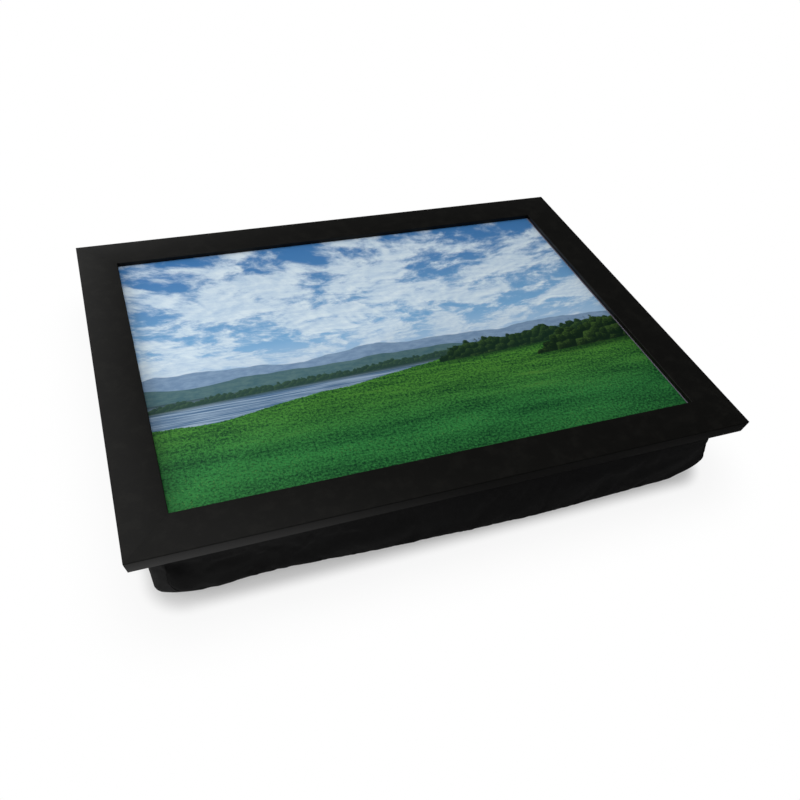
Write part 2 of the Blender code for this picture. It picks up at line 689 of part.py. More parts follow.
def make_slider(materials, cushion):
    """The zip's slider, drawn about a point on the cover's back face, and its pull on its own axis."""
    rest_x = ZIP_RIGHT - 3 * GAP - STOP_LENGTH - SLIDER_LENGTH / 2
    group = make_group("zip_slider_group", (rest_x, CUSHION_BACK, ZIP_HEIGHT), cushion)
    half_length = SLIDER_LENGTH / 2
    half_width = SLIDER_WIDTH / 2
    web = COIL_SPACING / 2 - GAP
    slider = place_piece(
        "zip_slider",
        box_mesh("zip_slider", (-half_length, SLIDER_FACE, -half_width),
                 (half_length, SLIDER_TOP, half_width)),
        materials["zip_metal"], group)

    additions = [
        ("web", (half_length - SLIDER_WEB_LENGTH, SLIDER_BACK - SLIDER_PLATE / 2, -web),
         (half_length, SLIDER_FACE + SLIDER_PLATE / 2, web)),
        ("inner_plate", (-half_length, SLIDER_BACK - SLIDER_PLATE, -SLIDER_INNER_WIDTH / 2),
         (half_length, SLIDER_BACK, SLIDER_INNER_WIDTH / 2)),
        ("upper_flange", (-half_length, COIL_INNER + GAP, half_width - SLIDER_FLANGE),
         (half_length, SLIDER_TOP, half_width)),
        ("lower_flange", (-half_length, COIL_INNER + GAP, -half_width),
         (half_length, SLIDER_TOP, SLIDER_FLANGE - half_width)),
    ]
    for name, lower, upper in additions:
        box = box_mesh(name, lower, upper)
        join(slider, place_piece(f"slider_{name}", box, materials["zip_metal"], group))

    half_bridge = BRIDGE_LENGTH / 2
    crown = SLIDER_TOP + BRIDGE_OPENING
    arch = [(-half_bridge, SLIDER_FACE), (half_bridge, SLIDER_FACE), (half_bridge, crown),
            (half_bridge - BRIDGE_THICKNESS, crown + BRIDGE_THICKNESS),
            (BRIDGE_THICKNESS - half_bridge, crown + BRIDGE_THICKNESS), (-half_bridge, crown)]
    bridge = place_piece("slider_bridge", prism_mesh("bridge", arch, -BRIDGE_WIDTH / 2, BRIDGE_WIDTH / 2),
                         materials["zip_metal"], group)
    eye = place_piece(
        "slider_eye",
        box_mesh("eye", (BRIDGE_THICKNESS - half_bridge, SLIDER_TOP, -BRIDGE_WIDTH),
                 (half_bridge - BRIDGE_THICKNESS, crown, BRIDGE_WIDTH)),
        materials["zip_metal"], group)
    join(slider, bridge)
    cut(slider, eye)

    make_pull(materials, group)


def make_pull(materials, group):
    """The pull: a flat tab whose ring goes round the slider's bridge, with its bar on the hinge axis."""
    axis = make_group("zip_pull_axis", (0.0, PULL_AXIS, 0.0), group)
    near = PULL_THICKNESS / 2
    centre = near - PULL_LENGTH / 2
    tab = [(x + centre, z) for x, z in rounded_rectangle(PULL_LENGTH, PULL_WIDTH, PULL_CORNER)]
    bm = bmesh.new()
    add_prism(bm, tab, -PULL_THICKNESS / 2, PULL_THICKNESS / 2)
    bmesh.ops.rotate(bm, verts=bm.verts, matrix=Matrix.Rotation(math.pi / 2, 3, "X"))
    pull = place_piece("zip_pull", make_mesh("zip_pull", bm), materials["zip_metal"], axis)
    ring_end = -(BRIDGE_LENGTH / 2 + 2 * GAP)
    half_ring = PULL_WIDTH / 2 - PULL_ARM
    opening = box_mesh("ring", (ring_end, -PULL_THICKNESS, -half_ring), (-near, PULL_THICKNESS, half_ring))
    cut(pull, place_piece("pull_ring", opening, materials["zip_metal"], axis))


def build():
    """Make the whole lap tray."""
    clear_scene()
    materials = make_materials()
    cushion = make_group("cushion_group")
    tray = make_group("tray_group", parent=cushion)
    make_frame(materials, tray)
    make_picture(materials, tray)
    make_strips(materials, tray, cushion)
    make_cover(materials, cushion)
    make_filling(materials, cushion)
    make_zip(materials, cushion)
    make_slider(materials, cushion)


build()
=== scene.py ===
"""Looks of a lap tray: a satin black frame with a printed picture on a bead-filled fabric cushion.

Everything is in metres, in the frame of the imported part: the floor is z = 0, +X runs right along the
long side and +Y runs to the back. The tray lifts off the cushion, and a zip closes the cushion's back.
"""

import logging
import math
from collections.abc import Sequence
from dataclasses import dataclass
from enum import Enum

import bpy
import numpy as np
from mathutils import Matrix, Vector


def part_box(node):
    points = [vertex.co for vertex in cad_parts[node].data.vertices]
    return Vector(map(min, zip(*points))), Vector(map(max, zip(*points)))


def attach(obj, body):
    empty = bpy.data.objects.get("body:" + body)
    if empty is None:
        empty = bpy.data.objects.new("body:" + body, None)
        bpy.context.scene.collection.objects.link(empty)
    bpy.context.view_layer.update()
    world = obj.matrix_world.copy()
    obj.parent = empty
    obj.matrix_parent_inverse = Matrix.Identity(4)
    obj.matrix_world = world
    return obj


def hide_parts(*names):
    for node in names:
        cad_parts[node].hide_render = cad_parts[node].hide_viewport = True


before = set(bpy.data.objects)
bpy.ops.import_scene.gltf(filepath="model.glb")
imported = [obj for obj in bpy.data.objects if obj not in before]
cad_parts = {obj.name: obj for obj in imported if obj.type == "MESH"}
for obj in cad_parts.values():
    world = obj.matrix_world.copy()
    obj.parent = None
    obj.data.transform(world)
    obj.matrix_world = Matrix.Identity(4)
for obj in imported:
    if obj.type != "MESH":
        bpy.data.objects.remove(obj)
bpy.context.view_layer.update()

Array = np.ndarray
Tree, Node, Socket = bpy.types.NodeTree, bpy.types.Node, bpy.types.NodeSocket
Mesh, Object = bpy.types.Mesh, bpy.types.Object
Place = tuple[float, float, float]
Colour = Place
Colours = tuple[Colour, Colour]
Range = tuple[float, float]
Numbers = tuple[float, ...]
Edges = tuple[bool, bool, bool, bool]

LOG = logging.getLogger("lap_tray")
MM = 0.001
QUARTER_TURN = math.pi / 2.0
FULL_TURN = 2.0 * math.pi
ALONG_X, ALONG_Y, ALONG_Z = (1.0, 0.0, 0.0), (0.0, 1.0, 0.0), (0.0, 0.0, 1.0)
ALL_EDGES: Edges = (True, True, True, True)
NAIL, POINT = "corner_nail", "retaining_point"
CREASE = 35.0
DOME_REACH, DOME_WIDTH = 0.6, 0.45


class Body(Enum):
    """The moving groups of the tray."""

    CUSHION = "cushion"
    TRAY = "tray"
    SLIDER = "zip_slider"
    PULL = "zip_pull"


class Slot(Enum):
    """The record's material slots."""

    FRAME = "black_painted_wood"
    PRINT = "printed_paper"
    HOOK = "hook_nylon"
    FABRIC = "black_fabric"
    BEADS = "bead_filling"
    TAPE = "zip_tape"
    COIL = "zip_coil"
    METAL = "zip_metal"


# Numbers worked out by a material's nodes


class Wire:
    """One number of a node tree. Sums, products and comparisons with others become Math nodes."""

    def __init__(self, tree: Tree, socket: Socket) -> None:
        """Wrap an output socket."""
        self.tree = tree
        self.socket = socket

    def math(self, operation: str, *others: "Wire | float") -> "Wire":
        """Feed this number, then the others, into one Math node.

        Args:
            operation: Blender's name of the operation.
            others: the node's further inputs.

        Returns:
            The node's result.
        """
        node = self.tree.nodes.new("ShaderNodeMath")
        node.operation = operation
        for socket, value in zip(node.inputs, (self, *others)):
            if isinstance(value, Wire):
                self.tree.links.new(value.socket, socket)
            else:
                socket.default_value = value
        return Wire(self.tree, node.outputs[0])

    def __add__(self, other: "Wire | float") -> "Wire":
        """Sum."""
        return self.math("ADD", other)

    def __sub__(self, other: "Wire | float") -> "Wire":
        """Difference."""
        return self.math("SUBTRACT", other)

    def __rsub__(self, other: float) -> "Wire":
        """A plain number less this one."""
        return self.math("MULTIPLY_ADD", -1.0, other)

    def __mul__(self, other: "Wire | float") -> "Wire":
        """Product."""
        return self.math("MULTIPLY", other)

    def __truediv__(self, other: "Wire | float") -> "Wire":
        """Quotient."""
        return self.math("DIVIDE", other)

    def inverse(self) -> "Wire":
        """One divided by this number."""
        return self.math("POWER", -1.0)

    def wave(self) -> "Wire":
        """Sine, moved to run from 0 to 1."""
        return self.math("SINE") * 0.5 + 0.5

    def ramp(self, low: float, high: float) -> "Wire":
        """0 at one value and 1 at another, with a soft start and end."""
        node = self.tree.nodes.new("ShaderNodeMapRange")
        node.interpolation_type = "SMOOTHSTEP"
        self.tree.links.new(self.socket, node.inputs["Value"])
        node.inputs["From Min"].default_value = min(low, high)
        node.inputs["From Max"].default_value = max(low, high)
        result = Wire(self.tree, node.outputs["Result"])
        return 1.0 - result if low > high else result


def mixed(parts: Sequence[Wire], shares: Sequence[float]) -> Wire:
    """The sum of some numbers, each times its share."""
    total, *others = (part if share == 1.0 else part * share for part, share in zip(parts, shares))
    for other in others:
        total = total + other
    return total


@dataclass(frozen=True)
class Clouds:
    """Cloudy noise: patches to the unit of length, octaves, roughness and distortion."""

    scale: float
    octaves: float = 3.0
    roughness: float = 0.5
    distortion: float = 0.0


class Bench:
    """The node tree of one material, with a short call for each kind of node that the finishes use."""

    def __init__(self, material: bpy.types.Material) -> None:
        """Start from the material's own Principled shader."""
        self.tree = material.node_tree
        self.shader = self.tree.nodes["Principled BSDF"]

    def node(self, kind: str, **settings: object) -> Node:
        """A new node with its settings."""
        made = self.tree.nodes.new(kind)
        for name, value in settings.items():
            setattr(made, name, value)
        return made

    def feed(self, socket: Socket, value: object) -> None:
        """Give a socket a wire, another node's socket, a colour, two or three numbers, or a plain value."""
        if isinstance(value, Wire):
            value = value.socket
        if isinstance(value, Socket):
            self.tree.links.new(value, socket)
        elif isinstance(value, tuple) and socket.type == "RGBA":
            socket.default_value = (*value, 1.0)
        elif isinstance(value, tuple):
            self.tree.links.new(self.vector(*value), socket)
        else:
            socket.default_value = value

    def fill(self, node: Node, values: dict[str, object]) -> None:
        """Give several inputs of a node their values, by name."""
        for name, value in values.items():
            self.feed(node.inputs[name], value)

    def split(self, vector: Socket) -> tuple[Wire, ...]:
        """The three numbers of a vector."""
        node = self.node("ShaderNodeSeparateXYZ")
        self.tree.links.new(vector, node.inputs[0])
        return tuple(Wire(self.tree, socket) for socket in node.outputs)

    def place(self) -> tuple[Wire, ...]:
        """Place on the object, in metres."""
        return self.split(self.node("ShaderNodeTexCoord").outputs["Object"])

    def cloth_place(self) -> tuple[Wire, ...]:
        """Place on the piece's own unrolled surface, in metres."""
        return self.split(self.node("ShaderNodeUVMap").outputs[0])[:2]

    def attribute(self, name: str) -> Wire:
        """A number kept on the piece's vertices."""
        return Wire(self.tree, self.node("ShaderNodeAttribute", attribute_name=name).outputs["Fac"])

    def vector(self, *parts: Wire | float) -> Socket:
        """Two or three numbers as one vector."""
        join = self.node("ShaderNodeCombineXYZ")
        for socket, part in zip(join.inputs, parts):
            self.feed(socket, part)
        return join.outputs[0]

    def noise(self, place: object, clouds: Clouds) -> Wire:
        """Cloudy noise from 0 to 1."""
        node = self.node("ShaderNodeTexNoise")
        self.fill(node, {"Vector": place, "Scale": clouds.scale, "Detail": clouds.octaves,
                         "Roughness": clouds.roughness, "Distortion": clouds.distortion})
        return Wire(self.tree, node.outputs[0])

    def cells(self, place: object, scale: float, jumble: float = 1.0) -> Wire:
        """Distance to the middle of the nearest cell."""
        node = self.node("ShaderNodeTexVoronoi")
        self.fill(node, {"Vector": place, "Scale": scale, "Randomness": jumble})
        return Wire(self.tree, node.outputs["Distance"])

    def crowns(self, across: Wire, up: Wire) -> tuple[Wire, Wire, Wire]:
        """Distance to the middle of the nearest cell of a flat pattern, and how far right and above it is."""
        node = self.node("ShaderNodeTexVoronoi", voronoi_dimensions="2D")
        self.fill(node, {"Vector": (across, up), "Scale": 1.0})
        middle_across, middle_up = self.split(node.outputs["Position"])[:2]
        return Wire(self.tree, node.outputs["Distance"]), across - middle_across, up - middle_up

    def blend(self, share: Wire | float, first: object, second: object) -> Socket:
        """A colour between two colours."""
        node = self.node("ShaderNodeMix", data_type="RGBA")
        for index, value in ((0, share), (6, first), (7, second)):
            self.feed(node.inputs[index], value)
        return node.outputs[2]

    def bump(self, height: Wire, distance: float) -> None:
        """Raise the shader's surface by a height of 0 to 1 times a distance in metres."""
        node = self.node("ShaderNodeBump")
        self.fill(node, {"Height": height, "Distance": distance})
        self.tree.links.new(node.outputs[0], self.shader.inputs["Normal"])


# Finishes


@dataclass(frozen=True)
class Finish:
    """A finish with its plain values; each kind adds its own pattern.

    The tones are multiples of the colour between which the pattern runs, the relief is the height of its
    bumps, and the shares are those of the pattern's parts in colour, gloss and relief.
    """

    name: str
    colour: Colour
    roughness: float
    metallic: float = 0.0
    specular: float = 0.5
    sheen: float = 0.0
    coat: float = 0.0
    tones: Range = (1.0, 1.0)
    relief: float = 0.0
    in_colour: Numbers = ()
    in_gloss: Numbers = ()
    in_relief: Numbers = ()

    def material(self) -> bpy.types.Material:
        """The finish's material, made at its first use."""
        made = bpy.data.materials.get(self.name)
        if made:
            return made
        made = bpy.data.materials.new(self.name)
        made.use_nodes = True
        bench = Bench(made)
        bench.fill(bench.shader, {
            "Base Color": self.colour, "Roughness": self.roughness, "Metallic": self.metallic,
            "Specular IOR Level": self.specular, "Sheen Weight": self.sheen, "Coat Weight": self.coat})
        self.dress(bench)
        return made

    def dress(self, bench: Bench) -> None:
        """Add the pattern of colour, roughness and relief."""
        raise NotImplementedError

    def toned(self) -> Colours:
        """The colour at its darkest and at its palest."""
        return tuple(tuple(part * tone for part in self.colour) for tone in self.tones)

    def shade(self, bench: Bench, *parts: Wire) -> None:
        """Let the base colour run between its two tones by the parts' shares."""
        share = mixed(parts, self.in_colour)
        bench.feed(bench.shader.inputs["Base Color"], bench.blend(share, *self.toned()))

    def gloss(self, bench: Bench, *parts: Wire) -> None:
        """Let the roughness swing about its plain value by the parts' shares."""
        low = self.roughness - sum(self.in_gloss) / 2.0
        bench.feed(bench.shader.inputs["Roughness"], mixed(parts, self.in_gloss) + low)

    def raised(self, bench: Bench, *parts: Wire) -> None:
        """Raise the surface by the parts' shares."""
        bench.bump(mixed(parts, self.in_relief), self.relief)


@dataclass(frozen=True)
class SatinPaint(Finish):
    """Sprayed satin paint over a fine straight grain, paler in patches on the arrises and the lip's wall:
    partly rubbed wear, partly a painted reflection.
    """

    tones: Range = (0.75, 1.9)
    relief: float = 0.03 * MM
    in_colour: Numbers = (0.35, 0.15, 0.1, 0.9)
    in_gloss: Numbers = (0.03, 0.08)
    in_relief: Numbers = (0.5, 0.5)
    grain_length: float = 22.0 * MM
    grain_width: float = 0.5 * MM
    grain: Clouds = Clouds(1.0, 4.0, 0.6)
    orange_peel: Clouds = Clouds(1.0 / (1.6 * MM), 2.0)
    patches: Clouds = Clouds(14.0)
    # paler patches on the arrises and the lip's wall: partly rubbed wear, partly painted reflection
    rubbing_and_reflection: Clouds = Clouds(90.0, 4.0, 0.7)
    rubbed: Range = (0.45, 0.7)

    def dress(self, bench: Bench) -> None:
        """Grain along the rail, the paint's own soft ripple, and paler patches on the arrises and the lip's
        wall, partly wear and partly painted reflection.
        """
        along, across = bench.cloth_place()
        grain = bench.noise((along / self.grain_length, across / self.grain_width), self.grain)
        place = bench.vector(*bench.place())
        ripple = bench.noise(place, self.orange_peel)
        cloudy = bench.noise(place, self.patches)
        # partly wear, partly painted reflection: the base colour is raised in patches where the arris mark is
        # set
        wear_and_reflection = bench.attribute("arris") * bench.noise(place, self.rubbing_and_reflection).ramp(*self.rubbed)
        self.shade(bench, grain, ripple, cloudy, wear_and_reflection)
        self.gloss(bench, cloudy, grain)
        self.raised(bench, ripple, grain)


@dataclass(frozen=True)
class NappedFabric(Finish):
    """Short-napped cotton cloth: a fine weave under a nap that lies this way and that."""

    tones: Range = (0.45, 1.75)
    relief: float = 0.16 * MM
    in_colour: Numbers = (0.45, 0.3, 0.2, 0.1, 0.6)
    in_gloss: Numbers = (0.12,)
    in_relief: Numbers = (0.45, 0.3, 0.6)
    thread: float = 0.42 * MM
    fibres: Clouds = Clouds(2600.0, 3.0, 0.7)
    nap: Clouds = Clouds(160.0, 4.0, 0.6, 0.4)
    brushed: Clouds = Clouds(26.0, 3.0, 0.55, 0.6)
    specks_per_metre: float = 620.0
    speck: Range = (0.07, 0.03)
    speckled: Clouds = Clouds(75.0)
    speckled_edge: Range = (0.56, 0.66)
    sheen_roughness: float = 0.45

    def dress(self, bench: Bench) -> None:
        """Weave, nap and broad paler patches where the nap is brushed up, with a few specks of lint."""
        along, across = bench.cloth_place()
        turn = FULL_TURN / self.thread
        weave = ((along * turn).math("SINE") * (across * turn).math("SINE")) * 0.5 + 0.5
        place = bench.vector(*bench.place())
        fibres, nap = bench.noise(place, self.fibres), bench.noise(place, self.nap)
        brushed = bench.noise(place, self.brushed)
        specks = bench.cells(place, self.specks_per_metre).ramp(*self.speck)
        lint = specks * bench.noise(place, self.speckled).ramp(*self.speckled_edge)
        self.shade(bench, brushed, nap, fibres, weave, lint)
        self.gloss(bench, nap)
        bench.shader.inputs["Sheen Roughness"].default_value = self.sheen_roughness
        self.raised(bench, weave, fibres, nap)


@dataclass(frozen=True)
class WovenTape(Finish):
    """Herringbone tape of a zip."""

    tones: Range = (0.5, 1.8)
    relief: float = 0.15 * MM
    in_colour: Numbers = (0.6, 0.4)
    in_relief: Numbers = (0.7, 0.3)
    rib: float = 0.9 * MM
    band: float = 2.4 * MM
    fibres: Clouds = Clouds(1500.0, 3.0, 0.7)

    def dress(self, bench: Bench) -> None:
        """Slanted ribs that turn over in each band of the tape's width."""
        along, across = bench.cloth_place()
        folded = (across / self.band).math("PINGPONG", 1.0) * self.band
        ribs = ((along + folded) * (FULL_TURN / self.rib)).wave()
        fibres = bench.noise(bench.place(), self.fibres)
        self.shade(bench, ribs, fibres)
        self.raised(bench, ribs, fibres)


@dataclass(frozen=True)
class Moulded(Finish):
    """Extruded or moulded nylon with a faint streak."""

    tones: Range = (0.7, 1.5)
    relief: float = 0.02 * MM
    in_colour: Numbers = (0.6, 0.4)
    in_gloss: Numbers = (0.15,)
    in_relief: Numbers = (1.0,)
    clouds: Clouds = Clouds(420.0)
    fine: Clouds = Clouds(3000.0, 2.0)

    def dress(self, bench: Bench) -> None:
        """Cloudy colour and a slightly uneven gloss."""
        place = bench.vector(*bench.place())
        cloudy, fine = bench.noise(place, self.clouds), bench.noise(place, self.fine)
        self.shade(bench, cloudy, fine)
        self.gloss(bench, cloudy)
        self.raised(bench, fine)


@dataclass(frozen=True)
class WornMetal(Finish):
    """Rolled or cast metal with fine scratches; a bright metal shows where a dark coat has rubbed off."""

    tones: Range = (0.75, 1.3)
    relief: float = 0.02 * MM
    in_colour: Numbers = (0.8, 0.2)
    in_gloss: Numbers = (0.2,)
    in_relief: Numbers = (0.6, 0.4)
    bare: Colour = (0.30, 0.295, 0.285)
    rubbed: float = 0.64
    rubbed_step: float = 0.07
    scratches_per_metre: Place = (300.0, 4000.0, 4000.0)
    scratches: Clouds = Clouds(1.0, 3.0, 0.6)
    patches: Clouds = Clouds(330.0, 4.0, 0.6)

    def dress(self, bench: Bench) -> None:
        """Scratches along the piece, dull patches and rubbed spots."""
        place = bench.place()
        stretched = tuple(part * count for part, count in zip(place, self.scratches_per_metre))
        scratches = bench.noise(stretched, self.scratches)
        patches = bench.noise(place, self.patches)
        rubbed = mixed((patches, scratches), self.in_colour)
        worn = rubbed.ramp(self.rubbed, self.rubbed + self.rubbed_step)
        coated = bench.blend(scratches, *self.toned())
        bench.feed(bench.shader.inputs["Base Color"], bench.blend(worn, coated, self.bare))
        self.gloss(bench, patches)
        self.raised(bench, scratches, patches)


@dataclass(frozen=True)
class PressedFibre(Finish):
    """Hardboard: pressed brown fibres with the screen's print on its back."""

    tones: Range = (0.5, 1.5)
    relief: float = 0.12 * MM
    in_colour: Numbers = (0.5, 0.4, 0.1)
    in_relief: Numbers = (0.4, 0.3, 0.3)
    screen: float = 1.5 * MM
    fibres: Clouds = Clouds(1.0, 5.0, 0.7, 0.8)
    fibres_per_metre: tuple[Range, Range] = ((260.0, 900.0), (1000.0, 240.0))

    def dress(self, bench: Bench) -> None:
        """Long fibres one over another and a woven screen pattern."""
        x, y, z = bench.place()
        layers = [bench.noise((x * along, y * across, z), self.fibres)
                  for along, across in self.fibres_per_metre]
        turn = FULL_TURN / self.screen
        screen = (x * turn).math("SINE") * (y * turn).math("SINE") * 0.5 + 0.5
        self.shade(bench, *layers, screen)
        self.raised(bench, *layers, screen)


@dataclass(frozen=True)
class LooseBeads(Finish):
    """Polystyrene beads pressed against each other."""

    tones: Range = (0.55, 1.05)
    relief: float = 1.2 * MM
    in_colour: Numbers = (1.0,)
    in_relief: Numbers = (1.0,)
    bead: float = 3.0 * MM
    jumble: float = 0.7
    hump: Range = (0.75, 0.1)

    def dress(self, bench: Bench) -> None:
        """A round hump for each bead, with painted shade that darkens the gaps between the beads."""
        hump = bench.cells(bench.place(), 1.0 / self.bead, self.jumble).ramp(*self.hump)
        # painted shade: the base colour runs darker from each bead's middle into the gaps
        self.shade(bench, hump)
        self.raised(bench, hump)


@dataclass(frozen=True)
class Ridge:
    """A range of hills, in picture heights: its rise over the horizon, its swing and its hills' number."""

    rise: float
    swing: float
    hills: float
    seed: float
    low: Colour
    high: Colour


@dataclass(frozen=True)
class Wood:
    """A wood in the picture, in picture heights: its start, its foot, its height and its crowns' size."""

    start: float
    foot: float
    height: float
    crown: float
    shift: float
    dark: Colour
    light: Colour


@dataclass(frozen=True)
class LakeLandscape(Finish):
    """A printed landscape under a clear film: clouds, blue ridges, a lake, a meadow and woods.

    Places in it are in picture heights: across is 0 in the middle, up is 0 at the lower edge.
    """

    relief: float = 0.008 * MM
    in_gloss: Numbers = (0.06,)
    in_relief: Numbers = (1.0,)
    sheet: Clouds = Clouds(9.0, 2.0)
    film: Clouds = Clouds(700.0, 2.0)
    film_roughness: float = 0.22
    # a pale purplish strip along the picture's right edge only, beside the rail's inner wall
    right_strip_width: float = 0.9 * MM
    right_strip_edge: float = 0.2 * MM
    right_strip_colour: Colour = (0.21, 0.195, 0.25)
    picture_height: float = 0.271
    horizon: float = 0.425
    line: float = 0.0015
    air: Colours = ((0.22, 0.47, 0.76), (0.060, 0.215, 0.50))
    cloud: Colours = ((0.44, 0.62, 0.82), (0.80, 0.92, 1.0))
    haze: Colour = (0.55, 0.68, 0.82)
    drift: Clouds = Clouds(0.8)
    puffs: Clouds = Clouds(1.9, 12.0, 0.66, 0.10)
    cover: Clouds = Clouds(0.6, 2.0)
    covered: Range = (0.58, 0.73)
    ridges: tuple[Ridge, ...] = (
        Ridge(0.030, 0.085, 2.1, 5.0, (0.17, 0.28, 0.44), (0.24, 0.36, 0.52)),
        Ridge(-0.010, 0.075, 1.5, 8.0, (0.060, 0.140, 0.170), (0.100, 0.190, 0.200)),
    )
    slopes: Clouds = Clouds(30.0, 6.0, 0.7)
    ripples: Clouds = Clouds(1.0, 5.0, 0.65)
    water: Colours = ((0.065, 0.150, 0.280), (0.38, 0.50, 0.64))
    water_shade: Colour = (0.016, 0.050, 0.045)
    fringe: Clouds = Clouds(170.0, 3.0, 0.7)
    swell: Clouds = Clouds(1.1, 4.0, 0.55)
    tufts: Clouds = Clouds(16.0, 8.0, 0.75, 0.5)
    blades: Clouds = Clouds(1.0, 3.0, 0.85)
    grass_shares: Numbers = (1.0, 0.6, 2.9)
    grass_level: float = 1.72
    grass_shade: Colour = (0.002, 0.040, 0.014)
    grass_sunlit: Colours = ((0.036, 0.250, 0.056), (0.080, 0.290, 0.036))
    grass_dry: Colour = (0.13, 0.22, 0.040)
    flowers: Colour = (0.62, 0.56, 0.14)
    woods: tuple[Wood, ...] = (
        Wood(-9.0, 0.360, 0.030, 0.013, 5.0, (0.022, 0.060, 0.050), (0.060, 0.125, 0.066)),
        Wood(0.06, 0.338, 0.075, 0.021, 31.0, (0.006, 0.026, 0.014), (0.050, 0.110, 0.030)),
        Wood(0.36, 0.290, 0.110, 0.031, 77.0, (0.004, 0.018, 0.008), (0.060, 0.130, 0.026)),
    )

    def dress(self, bench: Bench) -> None:
        """Paint the layers from the sky forward, with a pale purplish strip along the right edge, beside the
        rail's inner wall.
        """
        x, y, _ = bench.place()
        across = x / self.picture_height
        up = y / self.picture_height + 0.5
        picture = self.sky(bench, across, up)
        picture = self.hills(bench, across, up, picture)
        picture = self.lake(bench, across, up, picture)
        picture = self.wood(bench, across, up, self.woods[0], picture)
        picture = self.meadow(bench, across, up, picture)
        for wood in self.woods[1:]:
            picture = self.wood(bench, across, up, wood, picture)
        # a pale purplish strip along the right edge, beside the rail's inner wall
        right_strip_start = float(box_of("frame_rail_right")[1][0]) - TrayFrame.rail_width - self.right_strip_width
        picture = bench.blend((x - right_strip_start).ramp(0.0, self.right_strip_edge), picture, self.right_strip_colour)
        bench.feed(bench.shader.inputs["Base Color"], picture)
        place = bench.vector(x, y)
        self.gloss(bench, bench.noise(place, self.sheet))
        bench.shader.inputs["Coat Roughness"].default_value = self.film_roughness
        self.raised(bench, bench.noise(place, self.film))

    def sky(self, bench: Bench, across: Wire, up: Wire) -> Socket:
        """Blue sky with broken cloud that gets smaller and flatter towards the horizon."""
        above = up - self.horizon
        air = bench.blend(above.ramp(0.0, 0.55), *self.air)
        reach = (above + 0.50).math("MAXIMUM", 0.1).inverse()
        far = reach * 4.4
        wide = across * reach * 3.2
        drift = bench.noise((wide, far, 4.0), self.drift) * 0.5
        puffs = bench.noise((wide + drift, far + drift), self.puffs)
        towards_sun = bench.noise((wide + drift + 0.06, far + drift + 0.07), self.puffs)
        cover = bench.noise((wide, far, 9.0), self.cover)
        mask = (puffs * 0.75 + cover * 0.6).ramp(*self.covered) * 0.95
        lit = ((puffs - towards_sun) * 3.0 + 0.6).math("MINIMUM", 1.0).math("MAXIMUM", 0.0)
        sky = bench.blend(mask, air, bench.blend(lit, *self.cloud))
        return bench.blend(above.ramp(0.14, 0.0) * 0.5, sky, self.haze)

    def hills(self, bench: Bench, across: Wire, up: Wire, picture: object) -> Socket:
        """Ranges of hills, paler and bluer with distance."""
        for ridge in self.ridges:
            skyline = bench.noise((across, ridge.seed), Clouds(ridge.hills, 4.0))
            top = skyline * (2.0 * ridge.swing) + (self.horizon + ridge.rise - ridge.swing)
            tone = bench.noise((across, up * 2.5, ridge.seed), self.slopes).ramp(0.35, 0.65)
            colour = bench.blend(tone, ridge.low, ridge.high)
            picture = bench.blend((top - up).ramp(-self.line, self.line), picture, colour)
        return picture

    def lake(self, bench: Bench, across: Wire, up: Wire, picture: object) -> Socket:
        """Water with level ripples, dark under the far shore."""
        shore = self.woods[0].foot + 0.002
        ripples = bench.noise((across * 4.0, up * 210.0, 6.0), self.ripples)
        water = bench.blend(ripples.ramp(0.38, 0.68), *self.water)
        below = up * -1.0 + shore
        water = bench.blend(below.ramp(0.026, 0.0) * 0.85, water, self.water_shade)
        return bench.blend(below.ramp(-0.001, 0.001), picture, water)

    def meadow(self, bench: Bench, across: Wire, up: Wire, picture: object) -> Socket:
        """Grass in perspective that rises to the right of the lake, with drier patches and flowers."""
        rise = (across + 0.02).ramp(-0.75, 0.62) * 0.13
        slope = bench.noise((across, 7.0), Clouds(1.7, 4.0)) * 0.09 + rise
        fringe = bench.noise((across, up), self.fringe) * 0.012
        edge = slope + fringe + (self.horizon - 0.209)
        depth = (0.47 - up).math("MAXIMUM", 0.08).inverse()
        wide, far = across * depth, depth * 2.2
        swell = bench.noise((wide, far, 1.0), self.swell)
        tufts = bench.noise((wide, far, 5.0), self.tufts)
        blades = bench.noise((across * 140.0, up * 150.0), self.blades)
        light = (mixed((swell, tufts, blades), self.grass_shares) - self.grass_level).ramp(0.0, 1.0)
        sunlit = bench.blend((up - 0.10).ramp(0.0, 0.22), *self.grass_sunlit)
        grass = bench.blend(light, self.grass_shade, sunlit)
        dry = (swell * 0.5 + tufts * 0.5).ramp(0.54, 0.70) * (up - 0.10).ramp(0.0, 0.18) * 0.5
        grass = bench.blend(dry, grass, self.grass_dry)
        spots = bench.cells((wide, depth * 3.2), 30.0)
        near = spots.ramp(0.12, 0.06) * (0.26 - up).ramp(0.0, 0.12) * swell.ramp(0.46, 0.60)
        grass = bench.blend(near * 0.7, grass, self.flowers)
        return bench.blend((edge - up).ramp(-self.line, self.line), picture, grass)

